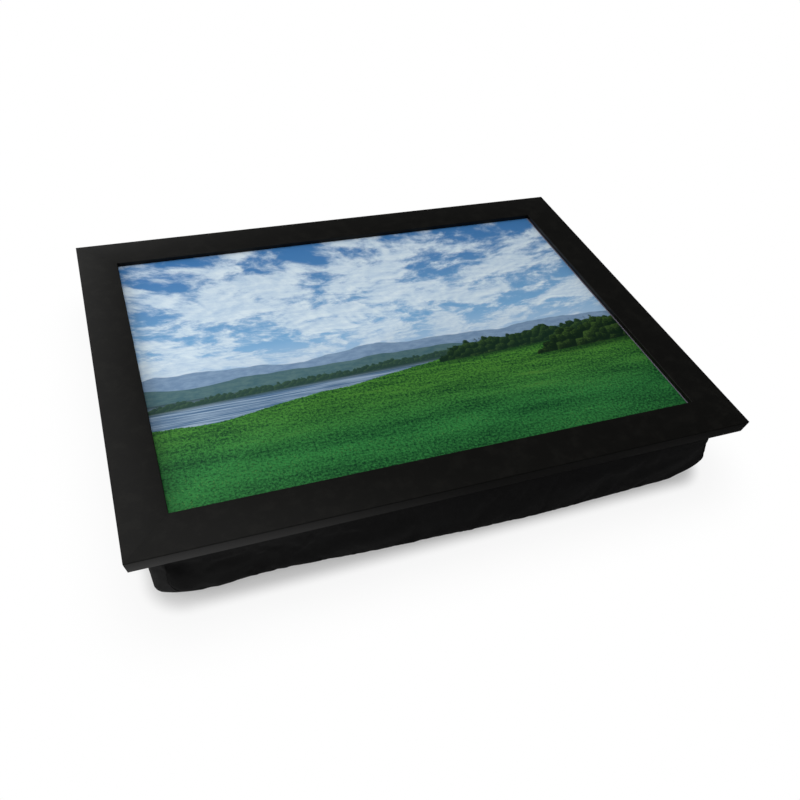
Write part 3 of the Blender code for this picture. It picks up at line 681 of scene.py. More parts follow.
    def wood(self, bench: Bench, across: Wire, up: Wire, wood: Wood, picture: object) -> Socket:
        """A wood of round crowns with a ragged skyline, lit from the upper left, with shade at its foot."""
        swell = bench.noise((across, wood.shift), Clouds(0.14 / wood.crown, 4.0, 0.65))
        grown = (across - wood.start).ramp(-2.0 * wood.crown, 6.0 * wood.crown)
        size = grown * (swell * 1.3 + 0.2) * wood.height
        distance, side, rise = bench.crowns(across / wood.crown + wood.shift, up / wood.crown)
        leaves = bench.noise((across, up), Clouds(5.0 / wood.crown, 8.0, 0.80))
        foot = across * 0.04 + wood.foot
        skyline = (size - up + foot) / wood.crown - distance + (leaves - 0.5) * 1.3 + grown
        above = up - foot + (leaves - 0.5) * (0.4 * wood.crown)
        mask = skyline.ramp(0.62, 0.80) * above.ramp(-0.001, 0.001)
        light = leaves * 2.6 - 1.25 - side * 0.4 + rise * 0.5 + (up - foot) / wood.height * 0.35
        tree = bench.blend(light.ramp(0.0, 1.0), wood.dark, wood.light)
        shade = above.ramp(0.003, 0.0) * (above * -1.0).ramp(1.1 * wood.crown, 0.0) * grown * 0.75
        return bench.blend(mask, bench.blend(shade, picture, wood.dark), tree)


SATIN_BLACK = SatinPaint("satin_black_paint", (0.0032, 0.0031, 0.0026), 0.40, specular=0.13)
PICTURE = LakeLandscape("printed_lake_landscape", (0.2, 0.3, 0.3), 0.42, specular=0.08, coat=0.03)
CUSHION_CLOTH = NappedFabric("black_napped_cloth", (0.0042, 0.0042, 0.0043), 0.88, specular=0.08, sheen=0.02)
TAPE_CLOTH = WovenTape("zip_tape_cloth", (0.0075, 0.0075, 0.0080), 0.85, specular=0.15, sheen=0.02)
COIL_NYLON = Moulded("zip_coil_nylon", (0.014, 0.014, 0.015), 0.405)
HOOK_NYLON = Moulded("hook_and_loop_nylon", (0.012, 0.012, 0.013), 0.605, specular=0.3)
THREAD = Moulded("sewing_thread", (0.016, 0.016, 0.017), 0.655, specular=0.3)
FASTENER_STEEL = WornMetal("zinc_plated_steel", (0.42, 0.43, 0.44), 0.38, metallic=1.0, rubbed=0.70)
ZIP_METAL = WornMetal("black_coated_zip_metal", (0.040, 0.040, 0.043), 0.36, metallic=1.0)
HARDBOARD = PressedFibre("brown_hardboard", (0.20, 0.125, 0.068), 0.80, specular=0.25)
BEADS = LooseBeads("white_beads", (0.78, 0.78, 0.76), 0.75)


# Surfaces worked out as arrays


def unit(vectors: Array) -> Array:
    """Vectors of length one, along the last axis."""
    return vectors / np.maximum(np.linalg.norm(vectors, axis=-1, keepdims=True), 1e-12)


def quarter_rise(distance: Array, length: float) -> Array:
    """Rise of a quarter ellipse: 0 at the start, steep there, and 1 from the given length on."""
    left = 1.0 - np.clip(distance / length, 0.0, 1.0)
    return np.sqrt(1.0 - left * left)


def sine_rise(distance: Array, length: float) -> Array:
    """First quarter of a sine wave: 0 at the start, and 1 from the given length on."""
    return np.sin(QUARTER_TURN * np.clip(distance / length, 0.0, 1.0))


def quads_over(index: Array) -> Array:
    """Quads over a grid of vertex numbers."""
    return np.stack([index[:-1, :-1], index[:-1, 1:], index[1:, 1:], index[1:, :-1]], axis=-1).reshape(-1, 4)


def grid_quads(rows: int, columns: int, wrap: bool = False) -> Array:
    """Quads of a grid of vertices stored row by row; wrap also joins its last column to its first."""
    index = np.arange(rows * columns).reshape(rows, columns)
    return quads_over(np.concatenate([index, index[:, :1]], axis=1) if wrap else index)


def resample(grid: Array, rows: Array, columns: Array) -> Array:
    """Read a grid of points between its vertices along both axes, with a smooth curve through four."""
    for axis, places in ((0, rows), (1, columns)):
        count = grid.shape[axis]
        start = np.clip(np.floor(places).astype(int), 0, count - 2)
        t = (places - start).reshape([-1 if a == axis else 1 for a in range(grid.ndim)])
        before, first, second, after = (
            np.take(grid, np.clip(start + step, 0, count - 1), axis=axis) for step in (-1, 0, 1, 2))
        before = np.where((start == 0).reshape(t.shape), 2.0 * first - second, before)
        after = np.where((start == count - 2).reshape(t.shape), 2.0 * second - first, after)
        grid = 0.5 * (2.0 * first + (second - before) * t
                      + (2.0 * before - 5.0 * first + 4.0 * second - after) * t ** 2
                      + (3.0 * first - before - 3.0 * second + after) * t ** 3)
    return grid


def grid_normals(grid: Array) -> Array:
    """Unit normals of a grid of points: the cross product of its steps along columns and up rows."""
    return unit(np.cross(np.gradient(grid, axis=1), np.gradient(grid, axis=0)))


def vertex_normals(points: Array, quads: Array) -> Array:
    """Unit normals of a mesh's points: the sum, over the quads at each, of their diagonals' cross product."""
    first, second, third, fourth = (points[quads[:, corner]] for corner in range(4))
    normals = np.zeros_like(points)
    np.add.at(normals, quads, np.repeat(np.cross(third - first, fourth - second)[:, None], 4, axis=1))
    return unit(normals)


def steps_from_edge(grid: Array, axis: int, far: bool = False) -> Array:
    """Distance along the surface from one edge of a grid to each of its points."""
    lengths = np.linalg.norm(np.diff(grid, axis=axis), axis=-1)
    pad = [(1, 0) if a == axis else (0, 0) for a in (0, 1)]
    run = np.cumsum(np.pad(lengths, pad), axis=axis)
    return np.take(run, [-1], axis=axis) - run if far else run


def edge_steps(grid: Array) -> list[Array]:
    """Distances along the surface from the first row, the last row, the first column and the last column."""
    return [steps_from_edge(grid, axis, far) for axis in (0, 1) for far in (False, True)]


def nearest_edge(grid: Array, counted: Edges = ALL_EDGES) -> Array:
    """Distance along the surface from each point of a grid to the nearest of the edges that count."""
    return np.min([run for run, counts in zip(edge_steps(grid), counted) if counts], axis=0)


def rounded_corners(corners: Array, radii: Array, steps: int = 4) -> Array:
    """A closed outline with an arc in each corner.

    Each arc turns about the point that lies its radius from both sides, from one side's normal to the
    other's, by equal angles.

    Args:
        corners, radii: corner points in order, and each one's radius.
        steps: pieces in each arc.

    Returns:
        The outline's points in order.
    """
    back = unit(np.roll(corners, 1, axis=0) - corners)
    ahead = unit(np.roll(corners, -1, axis=0) - corners)
    half = np.arccos(np.clip(np.sum(back * ahead, axis=-1), -1.0, 1.0)) / 2.0
    middle = unit(back + ahead) * (radii / np.sin(half))[:, None]
    reach = (radii / np.tan(half))[:, None]
    first, last = (unit(side * reach - middle)[:, None] for side in (back, ahead))
    turn = (math.pi - 2.0 * half)[:, None, None]
    share = np.linspace(0.0, 1.0, steps + 1)[None, :, None]
    arc = (np.sin((1.0 - share) * turn) * first + np.sin(share * turn) * last) / np.sin(turn)
    return ((corners + middle)[:, None] + arc * radii[:, None, None]).reshape(-1, 2)


def oblong(width: float, height: float, radius: float, steps: int = 4) -> Array:
    """Outline of a rectangle about the origin with round corners, counterclockwise."""
    corners = np.array([(1, -1), (1, 1), (-1, 1), (-1, -1)]) * (width / 2.0, height / 2.0)
    return rounded_corners(corners, np.full(4, radius), steps)


def outline_normals(outline: Array) -> Array:
    """Outward normals of a closed counterclockwise outline."""
    step = np.roll(outline, -1, axis=0) - np.roll(outline, 1, axis=0)
    return unit(np.stack([step[:, 1], -step[:, 0]], axis=-1))


@dataclass
class Shell:
    """Points and faces of a closed body, gathered before they become a mesh."""

    points: Array
    faces: list[Array]

    @staticmethod
    def joined(shells: "Sequence[Shell]") -> "Shell":
        """Several bodies as one list of points and faces."""
        starts = np.cumsum([0] + [len(shell.points) for shell in shells])
        faces = [face + start for shell, start in zip(shells, starts) for face in shell.faces]
        return Shell(np.concatenate([shell.points for shell in shells]), faces)

    def turned(self, matrix: Matrix) -> "Shell":
        """The body moved by a matrix without mirroring."""
        turn = np.array(matrix.to_3x3())
        return Shell(self.points @ turn.T + np.array(matrix.translation), self.faces)

    def flipped(self) -> "Shell":
        """The body with its faces turned over."""
        return Shell(self.points, [face[:, ::-1] for face in self.faces])

    def mesh(self, name: str) -> Mesh:
        """The body as a mesh."""
        made = bpy.data.meshes.new(name)
        made.from_pydata(self.points.tolist(), [], [face for part in self.faces for face in part.tolist()])
        return made


def tube(rings: Array) -> Shell:
    """Rings of points one after another as a closed body, with a cap at each end."""
    length, count = rings.shape[:2]
    around = np.arange(count)[None]
    faces = [grid_quads(length, count, wrap=True), around[:, ::-1], around + (length - 1) * count]
    return Shell(rings.reshape(-1, 3), faces)


def prism(plan: Array, low: float, high: float) -> Shell:
    """A closed prism over a counterclockwise plan."""
    return tube(np.stack([np.column_stack([plan, np.full(len(plan), height)]) for height in (low, high)]))


def sheet(outer: Array, inner: Array) -> Shell:
    """Two grids of points, one behind the other, closed all round their edges."""
    rows, columns = outer.shape[:2]
    count = rows * columns
    index = np.arange(count).reshape(rows, columns)
    ring = np.concatenate([index[0, :-1], index[:-1, -1], index[-1, :0:-1], index[:0:-1, 0]])
    ahead = np.roll(ring, -1)
    face = quads_over(index)
    faces = [face, face[:, ::-1] + count, np.stack([ring, ring + count, ahead + count, ahead], axis=-1)]
    return Shell(np.concatenate([outer.reshape(-1, 3), inner.reshape(-1, 3)]), faces)


def slab(outline: Array, low: float, high: float, radius: float, steps: int = 3) -> Shell:
    """A plate over a counterclockwise outline, with its upper and lower edges rounded.

    The rim's section is a quarter circle, an upright and another quarter circle: each ring of points is
    the outline drawn in by radius times one less the sine, at a height that follows the cosine.

    Args:
        outline: plan of the plate at its fullest.
        low, high: heights of its faces.
        radius: radius of its edges.
        steps: pieces in each quarter circle.

    Returns:
        The closed plate.
    """
    angle = np.linspace(0.0, QUARTER_TURN, steps + 1)
    drawn = radius * (1.0 - np.sin(angle))
    lift = radius * (1.0 - np.cos(angle))
    inset = np.concatenate([drawn, drawn[::-1]])[:, None, None]
    height = np.concatenate([low + lift, (high - lift)[::-1]])[:, None, None]
    plan = outline[None] - outline_normals(outline)[None] * inset
    return tube(np.concatenate([plan, np.broadcast_to(height, (*plan.shape[:2], 1))], axis=-1))


def rods(paths: Array, radius: float, sides: int, across: Sequence[float]) -> Shell:
    """Thin round rods along many flat paths at once, with domed ends.

    A ring of points stands round every point of a path: radius times the cosine along the path's own
    normal plus the sine along the direction that is square to all paths.

    Args:
        paths: points of every rod, of shape (rods, points, 3).
        radius, sides: radius of a ring and its number of points.
        across: direction square to every path.

    Returns:
        All rods, each closed.
    """
    tangent = unit(np.gradient(paths, axis=1))
    reach = tangent * radius * DOME_REACH
    paths = np.concatenate([paths[:, :1] - reach[:, :1], paths, paths[:, -1:] + reach[:, -1:]], axis=1)
    tangent = np.concatenate([tangent[:, :1], tangent, tangent[:, -1:]], axis=1)
    square = np.broadcast_to(np.asarray(across, float), tangent.shape)
    normal = unit(np.cross(tangent, square))
    angle = np.linspace(0.0, FULL_TURN, sides, endpoint=False)[:, None]
    size = np.full(paths.shape[1], radius)
    size[[0, -1]] = radius * DOME_WIDTH
    ring = normal[:, :, None] * np.cos(angle) + square[:, :, None] * np.sin(angle)
    points = paths[:, :, None] + ring * size[:, None, None]
    count, length = points.shape[:2]
    starts = (np.arange(count) * length * sides)[:, None, None]
    walls = (grid_quads(length, sides, wrap=True)[None] + starts).reshape(-1, 4)
    first = np.arange(sides)[None] + starts[:, 0]
    last = first[:, ::-1] + (length - 1) * sides
    return Shell(points.reshape(-1, 3), [walls[:, ::-1], first, last])


def swept(path: Array, normals: Array, section: Array) -> Shell:
    """A closed section carried along an open path in one plane, with flat ends.

    Args:
        path: points of the path.
        normals: one direction for each point, square to the path, that the section's first number follows.
        section: closed outline; its second number runs along the cross product of normal and path.

    Returns:
        The closed body.
    """
    side = np.cross(normals, unit(np.gradient(path, axis=0)))[:, None]
    return tube(path[:, None] + normals[:, None] * section[None, :, :1] + side * section[None, :, 1:])


# Pieces


def placed(name: str, data: bpy.types.ID) -> Object:
    """A new object in the scene."""
    made = bpy.data.objects.new(name, data)
    bpy.context.scene.collection.objects.link(made)
    return made


def smooth(mesh: Mesh, crease: float) -> None:
    """Shade a mesh smoothly up to an angle in degrees, above which an edge stays sharp."""
    mesh.shade_smooth()
    mesh.set_sharp_from_angle(angle=math.radians(crease))


def make_piece(name: str, shell: Shell, finish: Finish, body: Body, stands_for: Sequence[str] = (),
               cloth_place: Array | None = None, crease: float = CREASE,
               marks: dict[str, Array] | None = None) -> Object:
    """Put a closed body in the scene as one named piece.

    Args:
        name, shell, finish: the piece's name, body and finish.
        body: the moving group that it rides on.
        stands_for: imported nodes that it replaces.
        cloth_place: place of each vertex on the unrolled surface, in metres.
        crease: angle in degrees above which an edge stays sharp.
        marks: further numbers for each vertex, by name.

    Returns:
        The piece's object.
    """
    mesh = shell.mesh(name)
    if cloth_place is not None:
        corner = np.empty(len(mesh.loops), np.int32)
        mesh.loops.foreach_get("vertex_index", corner)
        layer = mesh.uv_layers.new(name="cloth_place")
        layer.data.foreach_set("uv", cloth_place[corner].astype(np.float32).ravel())
    for mark, values in (marks or {}).items():
        mesh.attributes.new(mark, "FLOAT", "POINT").data.foreach_set("value", values.astype(np.float32))
    smooth(mesh, crease)
    mesh.materials.append(finish.material())
    piece = placed(name, mesh)
    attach(piece, body.value)
    if stands_for:
        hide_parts(*stands_for)
    LOG.info("%s: %d faces", name, len(mesh.polygons))
    return piece


def carve(piece: Object, shell: Shell, operation: str = "DIFFERENCE", crease: float = CREASE) -> None:
    """Cut a closed body out of a piece, or fuse it on, and keep the result as the piece's own mesh."""
    mesh = shell.mesh("cutter")
    cutter = placed("cutter", mesh)
    modifier = piece.modifiers.new("carve", "BOOLEAN")
    modifier.operation = operation
    modifier.solver = "EXACT"
    modifier.object = cutter
    graph = bpy.context.evaluated_depsgraph_get()
    result = bpy.data.meshes.new_from_object(piece.evaluated_get(graph), depsgraph=graph)
    piece.modifiers.clear()
    old = piece.data
    piece.data = result
    result.name = old.name
    bpy.data.meshes.remove(old)
    bpy.data.objects.remove(cutter)
    bpy.data.meshes.remove(mesh)
    smooth(result, crease)


def box_of(node: str) -> tuple[Array, Array]:
    """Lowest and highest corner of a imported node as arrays."""
    low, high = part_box(node)
    return np.array(low), np.array(high)


def nodes_named(*starts: str) -> list[str]:
    """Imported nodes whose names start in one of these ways."""
    return [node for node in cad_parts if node.startswith(starts)]


def zip_heights() -> Place:
    """Heights of the zip opening's lower edge, of its middle and of its upper edge."""
    pull_low, pull_high = box_of("zip_pull")
    middle = float(pull_low[2] + pull_high[2]) / 2.0
    high = float(box_of("cushion_back_upper_panel")[0][2])
    return 2.0 * middle - high, middle, high


# Tray


@dataclass
class TrayFrame:
    """Four mitred rails with a rebate, eased arrises and a fine groove under the face's outer edge."""

    rail_width: float = 30.0 * MM
    rebate_width: float = 6.0 * MM
    lip_gap: float = 0.3 * MM
    back_cut: float = 1.8 * MM
    outer_arris: float = 0.30 * MM
    inner_arris: float = 0.50 * MM
    fine_arris: float = 0.08 * MM
    arris_steps: int = 5
    groove_drop: float = 0.42 * MM
    groove_height: float = 0.45 * MM
    groove_depth: float = 0.45 * MM
    mitre_gap: float = 0.008 * MM
    mitre_ease: float = 0.02 * MM
    nail_thickness: float = 0.8 * MM
    fastener_gap: float = 0.12 * MM

    def section(self, low: float, lip: float, top: float) -> tuple[Array, Array]:
        """Section of a rail: distance in from the outer edge and height, counterclockwise, and where its
        paint is paler, partly from wear and partly by painted reflection.

        Args:
            low: height of the underside.
            lip: height of the rebate's ceiling.
            top: height of the face.

        Returns:
            The outline's points, and 1 at those on the lip's wall and the face's two arrises and 0 elsewhere.
        """
        rebate = self.rail_width - self.rebate_width
        groove_top = top - self.groove_drop
        groove_low = groove_top - self.groove_height
        slope = self.back_cut / (top - low)
        fine = self.fine_arris
        corners = (
            (self.back_cut, low, 4.0 * fine), (rebate, low, 2.0 * fine), (rebate, lip, fine),
            (self.rail_width, lip, fine), (self.rail_width, top, self.inner_arris),
            (0.0, top, self.outer_arris), (slope * self.groove_drop, groove_top, fine),
            (self.groove_depth, groove_top, fine), (self.groove_depth, groove_low, fine),
            (slope * (top - groove_low), groove_low, fine))
        across, height, radii = np.array(corners).T
        arris = np.zeros((len(corners), self.arris_steps + 1))
        arris[3:6] = 1.0
        return rounded_corners(np.column_stack([across, height]), radii, self.arris_steps), arris.ravel()

    def rail(self, length: float, section: Array) -> tuple[Array, Array]:
        """Rings of a rail along X whose outer edge lies on the X axis.

        The section is carried from one mitre to the other, and its last ring at each end is drawn in along
        the section's own normals, which eases the mitre's arris.

        Args:
            length: length of the outer edge.
            section: the rail's section.

        Returns:
            Points of the rings, and their place on the unrolled surface.
        """
        inner = section - outline_normals(section) * self.mitre_ease
        pull = self.mitre_gap * math.sqrt(2.0)
        ends = [(-1.0, 0.0, inner), (-1.0, self.mitre_ease, section), (0.0, 0.0, section),
                (1.0, self.mitre_ease, section), (1.0, 0.0, inner)]
        points = np.stack([
            np.stack([side * (length / 2.0 - shape[:, 0] - pull - back), shape[:, 0], shape[:, 1]], axis=-1)
            for side, back, shape in ends])
        around = np.cumsum(np.linalg.norm(section - np.roll(section, 1, axis=0), axis=-1))
        return points, np.stack([points[..., 0], np.broadcast_to(around, points.shape[:2])], axis=-1)

    def pocket(self, node: str) -> Shell:
        """A box round a retaining point, or an L round a nail, a little larger than they are."""
        low, high = box_of(node)
        low, high = low - self.fastener_gap, high + self.fastener_gap
        if node.startswith(POINT):
            plan = np.array([(low[0], low[1]), (high[0], low[1]), (high[0], high[1]), (low[0], high[1])])
            return prism(plan, low[2], high[2])
        low[2] -= self.fastener_gap
        depth_side, width_side = node.split("_")[2:4]
        at_low = np.array([width_side == "left", depth_side == "front"])
        thick = self.nail_thickness + 2.0 * self.fastener_gap
        outer, far = np.where(at_low, low[:2], high[:2]), np.where(at_low, high[:2], low[:2])
        inner = outer + np.where(at_low, thick, -thick)
        plan = np.array([outer, (far[0], outer[1]), (far[0], inner[1]), inner, (inner[0], far[1]),
                         (outer[0], far[1])])
        return prism(plan if at_low[0] == at_low[1] else plan[::-1], low[2], high[2])

    def build(self) -> None:
        """Make the four rails, each turned into its place, and cut the fasteners' pockets."""
        low, high = box_of("frame_rail_front")
        lip = box_of("clear_surface_film")[1][2] + self.lip_gap
        section, arris = self.section(low[2], lip, high[2])
        half_width, half_depth = box_of("frame_rail_right")[1][0], -low[1]
        pockets = Shell.joined([self.pocket(node) for node in nodes_named(NAIL, POINT)])
        sides = {"front": (half_width, 0.0, -half_depth, 0.0), "right": (half_depth, half_width, 0.0, 0.5),
                 "back": (half_width, 0.0, half_depth, 1.0), "left": (half_depth, -half_width, 0.0, -0.5)}
        for side, (half_length, x, y, half_turns) in sides.items():
            points, unrolled = self.rail(2.0 * half_length, section)
            turn = Matrix.Translation((x, y, 0.0)) @ Matrix.Rotation(half_turns * math.pi, 4, "Z")
            piece = make_piece(f"rail_{side}", tube(points).turned(turn).flipped(), SATIN_BLACK, Body.TRAY,
                               [f"frame_rail_{side}"], unrolled.reshape(-1, 2),
                               marks={"arris": np.tile(arris, len(points))})
            carve(piece, pockets)


@dataclass
class PicturePackage:
    """The print under its clear film, and the hardboard and steel that hold it."""

    edge: float = 0.12 * MM
    corner: float = 0.5 * MM

    def build(self) -> None:
        """Make the printed sheet with its film as one plate, and finish the pieces behind it."""
        low, high = box_of("clear_surface_film")
        underside = box_of("picture_print")[0][2]
        plan = oblong(high[0] - low[0], high[1] - low[1], self.corner)
        make_piece("printed_picture", slab(plan, underside, high[2], self.edge), PICTURE, Body.TRAY,
                   ["clear_surface_film", "picture_print"])
        for node in nodes_named("picture_board", NAIL, POINT):
            finish = HARDBOARD if node == "picture_board" else FASTENER_STEEL
            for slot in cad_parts[node].material_slots:
                slot.material = finish.material()


# Cushion


@dataclass(frozen=True)
class Outline:
    """Front view of the cushion at one depth: upright sides, rolled lower corners and a level base."""

    left: float
    right: float
    base: float
    top: float
    left_roll: Range
    right_roll: Range
    left_lean: float
    right_lean: float

    def leaned(self, across: Array, height: Array) -> Array:
        """Places across after the sides lean in: by the lean times the share of the height that lies above,
        and times the square of the share of the way from the middle to that side."""
        half = (self.right - self.left) / 2.0
        share = (across - self.left - half) / half
        below = np.clip((self.top - height) / (self.top - self.base), 0.0, 1.0)
        left_share, right_share = np.minimum(share, 0.0) ** 2, np.maximum(share, 0.0) ** 2
        return across + below * (self.left_lean * left_share - self.right_lean * right_share)

    def rows(self, turns: tuple[int, int], flats: int, shares: Sequence[float]) -> tuple[Array, Array, Array]:
        """Places from the lower edge up to the top.

        Each lower corner is a quarter ellipse in equal angles, with a stretch in equal steps between them.

        Args:
            turns: steps in the left and in the right corner.
            flats: steps between them.
            shares: rows, as shares of the way up from the lower edge.

        Returns:
            Places across and heights of all rows, and heights of the lower edge.
        """
        left_angle, right_angle = (np.linspace(0.0, QUARTER_TURN, count + 1) for count in turns)
        (left_width, left_height), (right_width, right_height) = self.left_roll, self.right_roll
        flat = np.linspace(self.left + left_width, self.right - right_width, flats + 1)[1:]
        across = np.concatenate([self.left + left_width * (1.0 - np.cos(left_angle)), flat,
                                 self.right - right_width * (1.0 - np.sin(right_angle[1:]))])
        low = np.concatenate([self.base + left_height * (1.0 - np.sin(left_angle)), np.full(flats, self.base),
                              self.base + right_height * (1.0 - np.cos(right_angle[1:]))])
        height = low + np.array(shares)[:, None] * (self.top - low)
        return np.broadcast_to(across, height.shape), height, low


@dataclass(frozen=True)
class Fold:
    """A soft ridge or crease in the front panel, from one place across and up to another."""

    start: Range
    end: Range
    height: float
    width: float
    fade_start: float = 0.15
    fade_run: float = 0.8

    def relief(self, grid: Array) -> Array:
        """Height of the fold at each point: a bell across its line that fades like a sine at its ends."""
        line = np.array(self.end) - np.array(self.start)
        offset = grid[..., ::2] - np.array(self.start)
        share = np.clip(offset @ line / (line @ line), 0.0, 1.0)
        away = np.linalg.norm(offset - share[..., None] * line, axis=-1)
        fade = np.sin(math.pi * np.clip(share * self.fade_run + self.fade_start, 0.0, 1.0))
        return self.height * np.exp(-(away / self.width) ** 2) * fade


@dataclass(frozen=True)
class Panel:
    """One panel of the cover: its node, and how it is sewn.

    Its outward number is 1 where the grid's own normals point out and -1 where they point in. The seed sets
    its puckers, the dip is how deep its edges lie in the seams, and a hemmed panel's free edges are turned
    under.
    """

    node: str
    outward: float
    sewn: Edges
    seed: int
    dip: float
    hemmed: bool = False


@dataclass(frozen=True)
class ClothFilling:
    """Fills a skin like a slack bean bag with Blender's cloth solver."""

    frames: int = 20
    reach: float = 4.0 * MM
    settings: tuple[tuple[str, float], ...] = (
        ("quality", 6), ("mass", 0.25), ("tension_stiffness", 40.0), ("compression_stiffness", 10.0),
        ("shear_stiffness", 8.0), ("bending_stiffness", 0.5), ("air_damping", 2.0),
        ("use_pressure", True), ("uniform_pressure_force", 1.2), ("shrink_min", -0.006))

    def filled(self, points: Array, quads: Array, held: Array) -> Array:
        """Fill the skin.

        Args:
            points: the skin's points.
            quads: its faces.
            held: share from 0 to 1 by which each point is held in place.

        Returns:
            The points after the filling, none moved further than the reach.
        """
        mesh = Shell(points, [quads]).mesh("skin")
        skin = placed("skin", mesh)
        group = skin.vertex_groups.new(name="held")
        levels = np.round(held, 2)
        for level in np.unique(levels):
            group.add(np.flatnonzero(levels == level).tolist(), float(level), "REPLACE")
        cloth = skin.modifiers.new("cloth", "CLOTH")
        for name, value in self.settings:
            setattr(cloth.settings, name, value)
        cloth.settings.vertex_group_mass = group.name
        cloth.settings.effector_weights.gravity = 0.0
        cloth.collision_settings.use_collision = False
        cloth.collision_settings.use_self_collision = False
        cloth.point_cache.frame_start = 1
        cloth.point_cache.frame_end = self.frames
        for moment in range(1, self.frames + 1):
            bpy.context.scene.frame_set(moment)
        evaluated = skin.evaluated_get(bpy.context.evaluated_depsgraph_get())
        moved = np.empty(len(points) * 3)
        evaluated.data.vertices.foreach_get("co", moved)
        bpy.context.scene.frame_set(1)
        bpy.data.objects.remove(skin)
        bpy.data.meshes.remove(mesh)
        shift = moved.reshape(-1, 3) - points
        length = np.linalg.norm(shift, axis=-1, keepdims=True)
        shift *= np.minimum(1.0, self.reach / np.maximum(length, 1e-9))
        return points + shift


@dataclass
class CushionCover:
    """The sewn cover over the beads: a front panel, a band round the sides and base, and a zipped back.

    The cover's bare form is a closed skin of four grids: the front, the back, the band and the top. A cloth
    simulation fills it, and each panel is then read from the filled skin, drawn in at its seams, puckered and
    given the cloth's thickness.
    """

    filling: ClothFilling = ClothFilling()
    cloth: float = 0.8 * MM
    crease: float = 55.0
    seam_depth: float = 4.0 * MM
    seam_rise: float = 2.0 * MM
    left_roll: Range = (20.0 * MM, 29.0 * MM)
    right_roll: Range = (43.0 * MM, 18.0 * MM)
    back_roll: Range = (20.0 * MM, 29.0 * MM)
    side_roll: Range = (6.0 * MM, 8.0 * MM)
    seam_lean: Range = (0.0, -8.5 * MM)
    side_lean: Range = (4.0 * MM, -8.5 * MM)
    side_spread: float = 12.0 * MM
    base_roll: float = 10.0 * MM
    end_roll: float = 34.0 * MM
    crown_share: float = 0.20
    top_draw_start: float = 31.7 * MM
    top_draw_share: float = 0.40
    settle_shares: Numbers = (0.0, 0.04, 0.16, 0.40, 0.66, 0.86, 1.0)
    settle_pushes: Numbers = (0.4 * MM, -3.6 * MM, -6.2 * MM, -1.8 * MM, 0.8 * MM, -0.8 * MM, -1.4 * MM)
    left_trim: float = 2.0 * MM
    right_trim: float = 8.6 * MM
    turns: tuple[int, int] = (7, 9)
    flats: int = 86
    rise_shares: Numbers = (0.0, 0.035, 0.09, 0.17, 0.26, 0.35, 0.44, 0.53, 0.62, 0.71, 0.80, 0.90, 1.0)
    near_stations: Numbers = (0.0, 2.0 * MM, 4.5 * MM, 7.5 * MM, 11.0 * MM, 14.5 * MM)
    station_step: float = 4.2 * MM
    weld: float = 0.01 * MM
    held_top: Range = (-9.0 * MM, -1.0 * MM)
    held_floor: Range = (6.0 * MM, 1.0 * MM)
    held_round_zip: Range = (14.0 * MM, 8.0 * MM)
    panel_dip: float = 1.0 * MM
    band_dip: float = 0.3 * MM
    seam_width: float = 5.0 * MM
    hem_drop: float = 0.35 * MM
    hem_width: float = 0.9 * MM
    near_seam: Numbers = (0.0, 0.12, 0.30, 0.55)
    near_cut: Numbers = (0.0, 0.05, 0.14)
    cut_gap: float = 0.25
    closest: float = 0.06
    panel_steps: Range = (0.36, 0.40)
    band_steps: Range = (0.50, 0.55)
    top_steps: Range = (0.70, 0.80)
    pucker: float = 0.55 * MM
    pucker_rise: float = 2.0 * MM
    pucker_reach: float = 7.0 * MM
    pucker_low: float = 9.0 * MM
    pucker_least: float = 0.25
    pucker_lengths: Numbers = (9.0 * MM, 13.0 * MM, 21.0 * MM)
    wave: float = 0.55 * MM
    wave_rise: float = 12.0 * MM
    along_lengths: Numbers = (64.0 * MM, 93.0 * MM, 41.0 * MM)
    along_slant: float = 0.35
    upward_lengths: Numbers = (37.0 * MM, 58.0 * MM)
    upward_slant: float = -0.3
    band_calm: Range = (1.5 * MM, 8.0 * MM)
    zip_calm: Range = (30.0 * MM, 6.0 * MM)
    tab_gap: float = 0.03
    top_fall: float = 0.9
    top_roll: float = 3.0 * MM
    folds: tuple[Fold, ...] = (
        Fold((0.204, 0.036), (0.120, 0.016), 1.4 * MM, 5.5 * MM),
        Fold((0.196, 0.041), (0.040, 0.030), 1.0 * MM, 6.5 * MM),
        Fold((0.188, 0.020), (0.150, 0.004), -1.1 * MM, 4.5 * MM),
        Fold((0.020, 0.026), (-0.120, 0.016), 0.9 * MM, 8.0 * MM),
        Fold((-0.080, 0.036), (-0.180, 0.024), 0.8 * MM, 6.0 * MM),
        Fold((-0.194, 0.040), (-0.184, 0.032), -2.4 * MM, 5.0 * MM),
        Fold((-0.183, 0.010), (-0.168, 0.004), -1.5 * MM, 5.0 * MM),
    )
    fold_fade: float = 5.0 * MM
    front_sewn: Edges = (True, False, True, True)

    def __post_init__(self) -> None:
        """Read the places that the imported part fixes."""
        front_low, front_high = box_of("cushion_front_panel")
        band_low, band_high = box_of("cushion_wrap_band")
        self.top = band_high[2]
        self.front_y = front_low[1]
        self.back_y = box_of("cushion_back_lower_panel")[1][1]
        self.seam_left, self.seam_right = front_low[0] + self.left_trim, front_high[0] - self.right_trim
        self.side_left, self.side_right = band_low[0], band_high[0] - self.right_trim
        self.zip_low, _, self.zip_high = zip_heights()
        self.zip_left = box_of("zip_end_tab_left")[1][0]
        self.zip_right = box_of("zip_end_tab_right")[0][0]

    # Bare form

    def settled(self, across: Array) -> Array:
        """How far the beads push the front's foot out, eased from place to place like half a cosine wave."""
        share = (across - self.seam_left) / (self.seam_right - self.seam_left)
        step = np.interp(share, self.settle_shares, np.arange(len(self.settle_shares)))
        first = np.minimum(step.astype(int), len(self.settle_shares) - 2)
        ease = (1.0 - np.cos(math.pi * (step - first))) / 2.0
        pushed = np.array(self.settle_pushes)
        return pushed[first] * (1.0 - ease) + pushed[first + 1] * ease

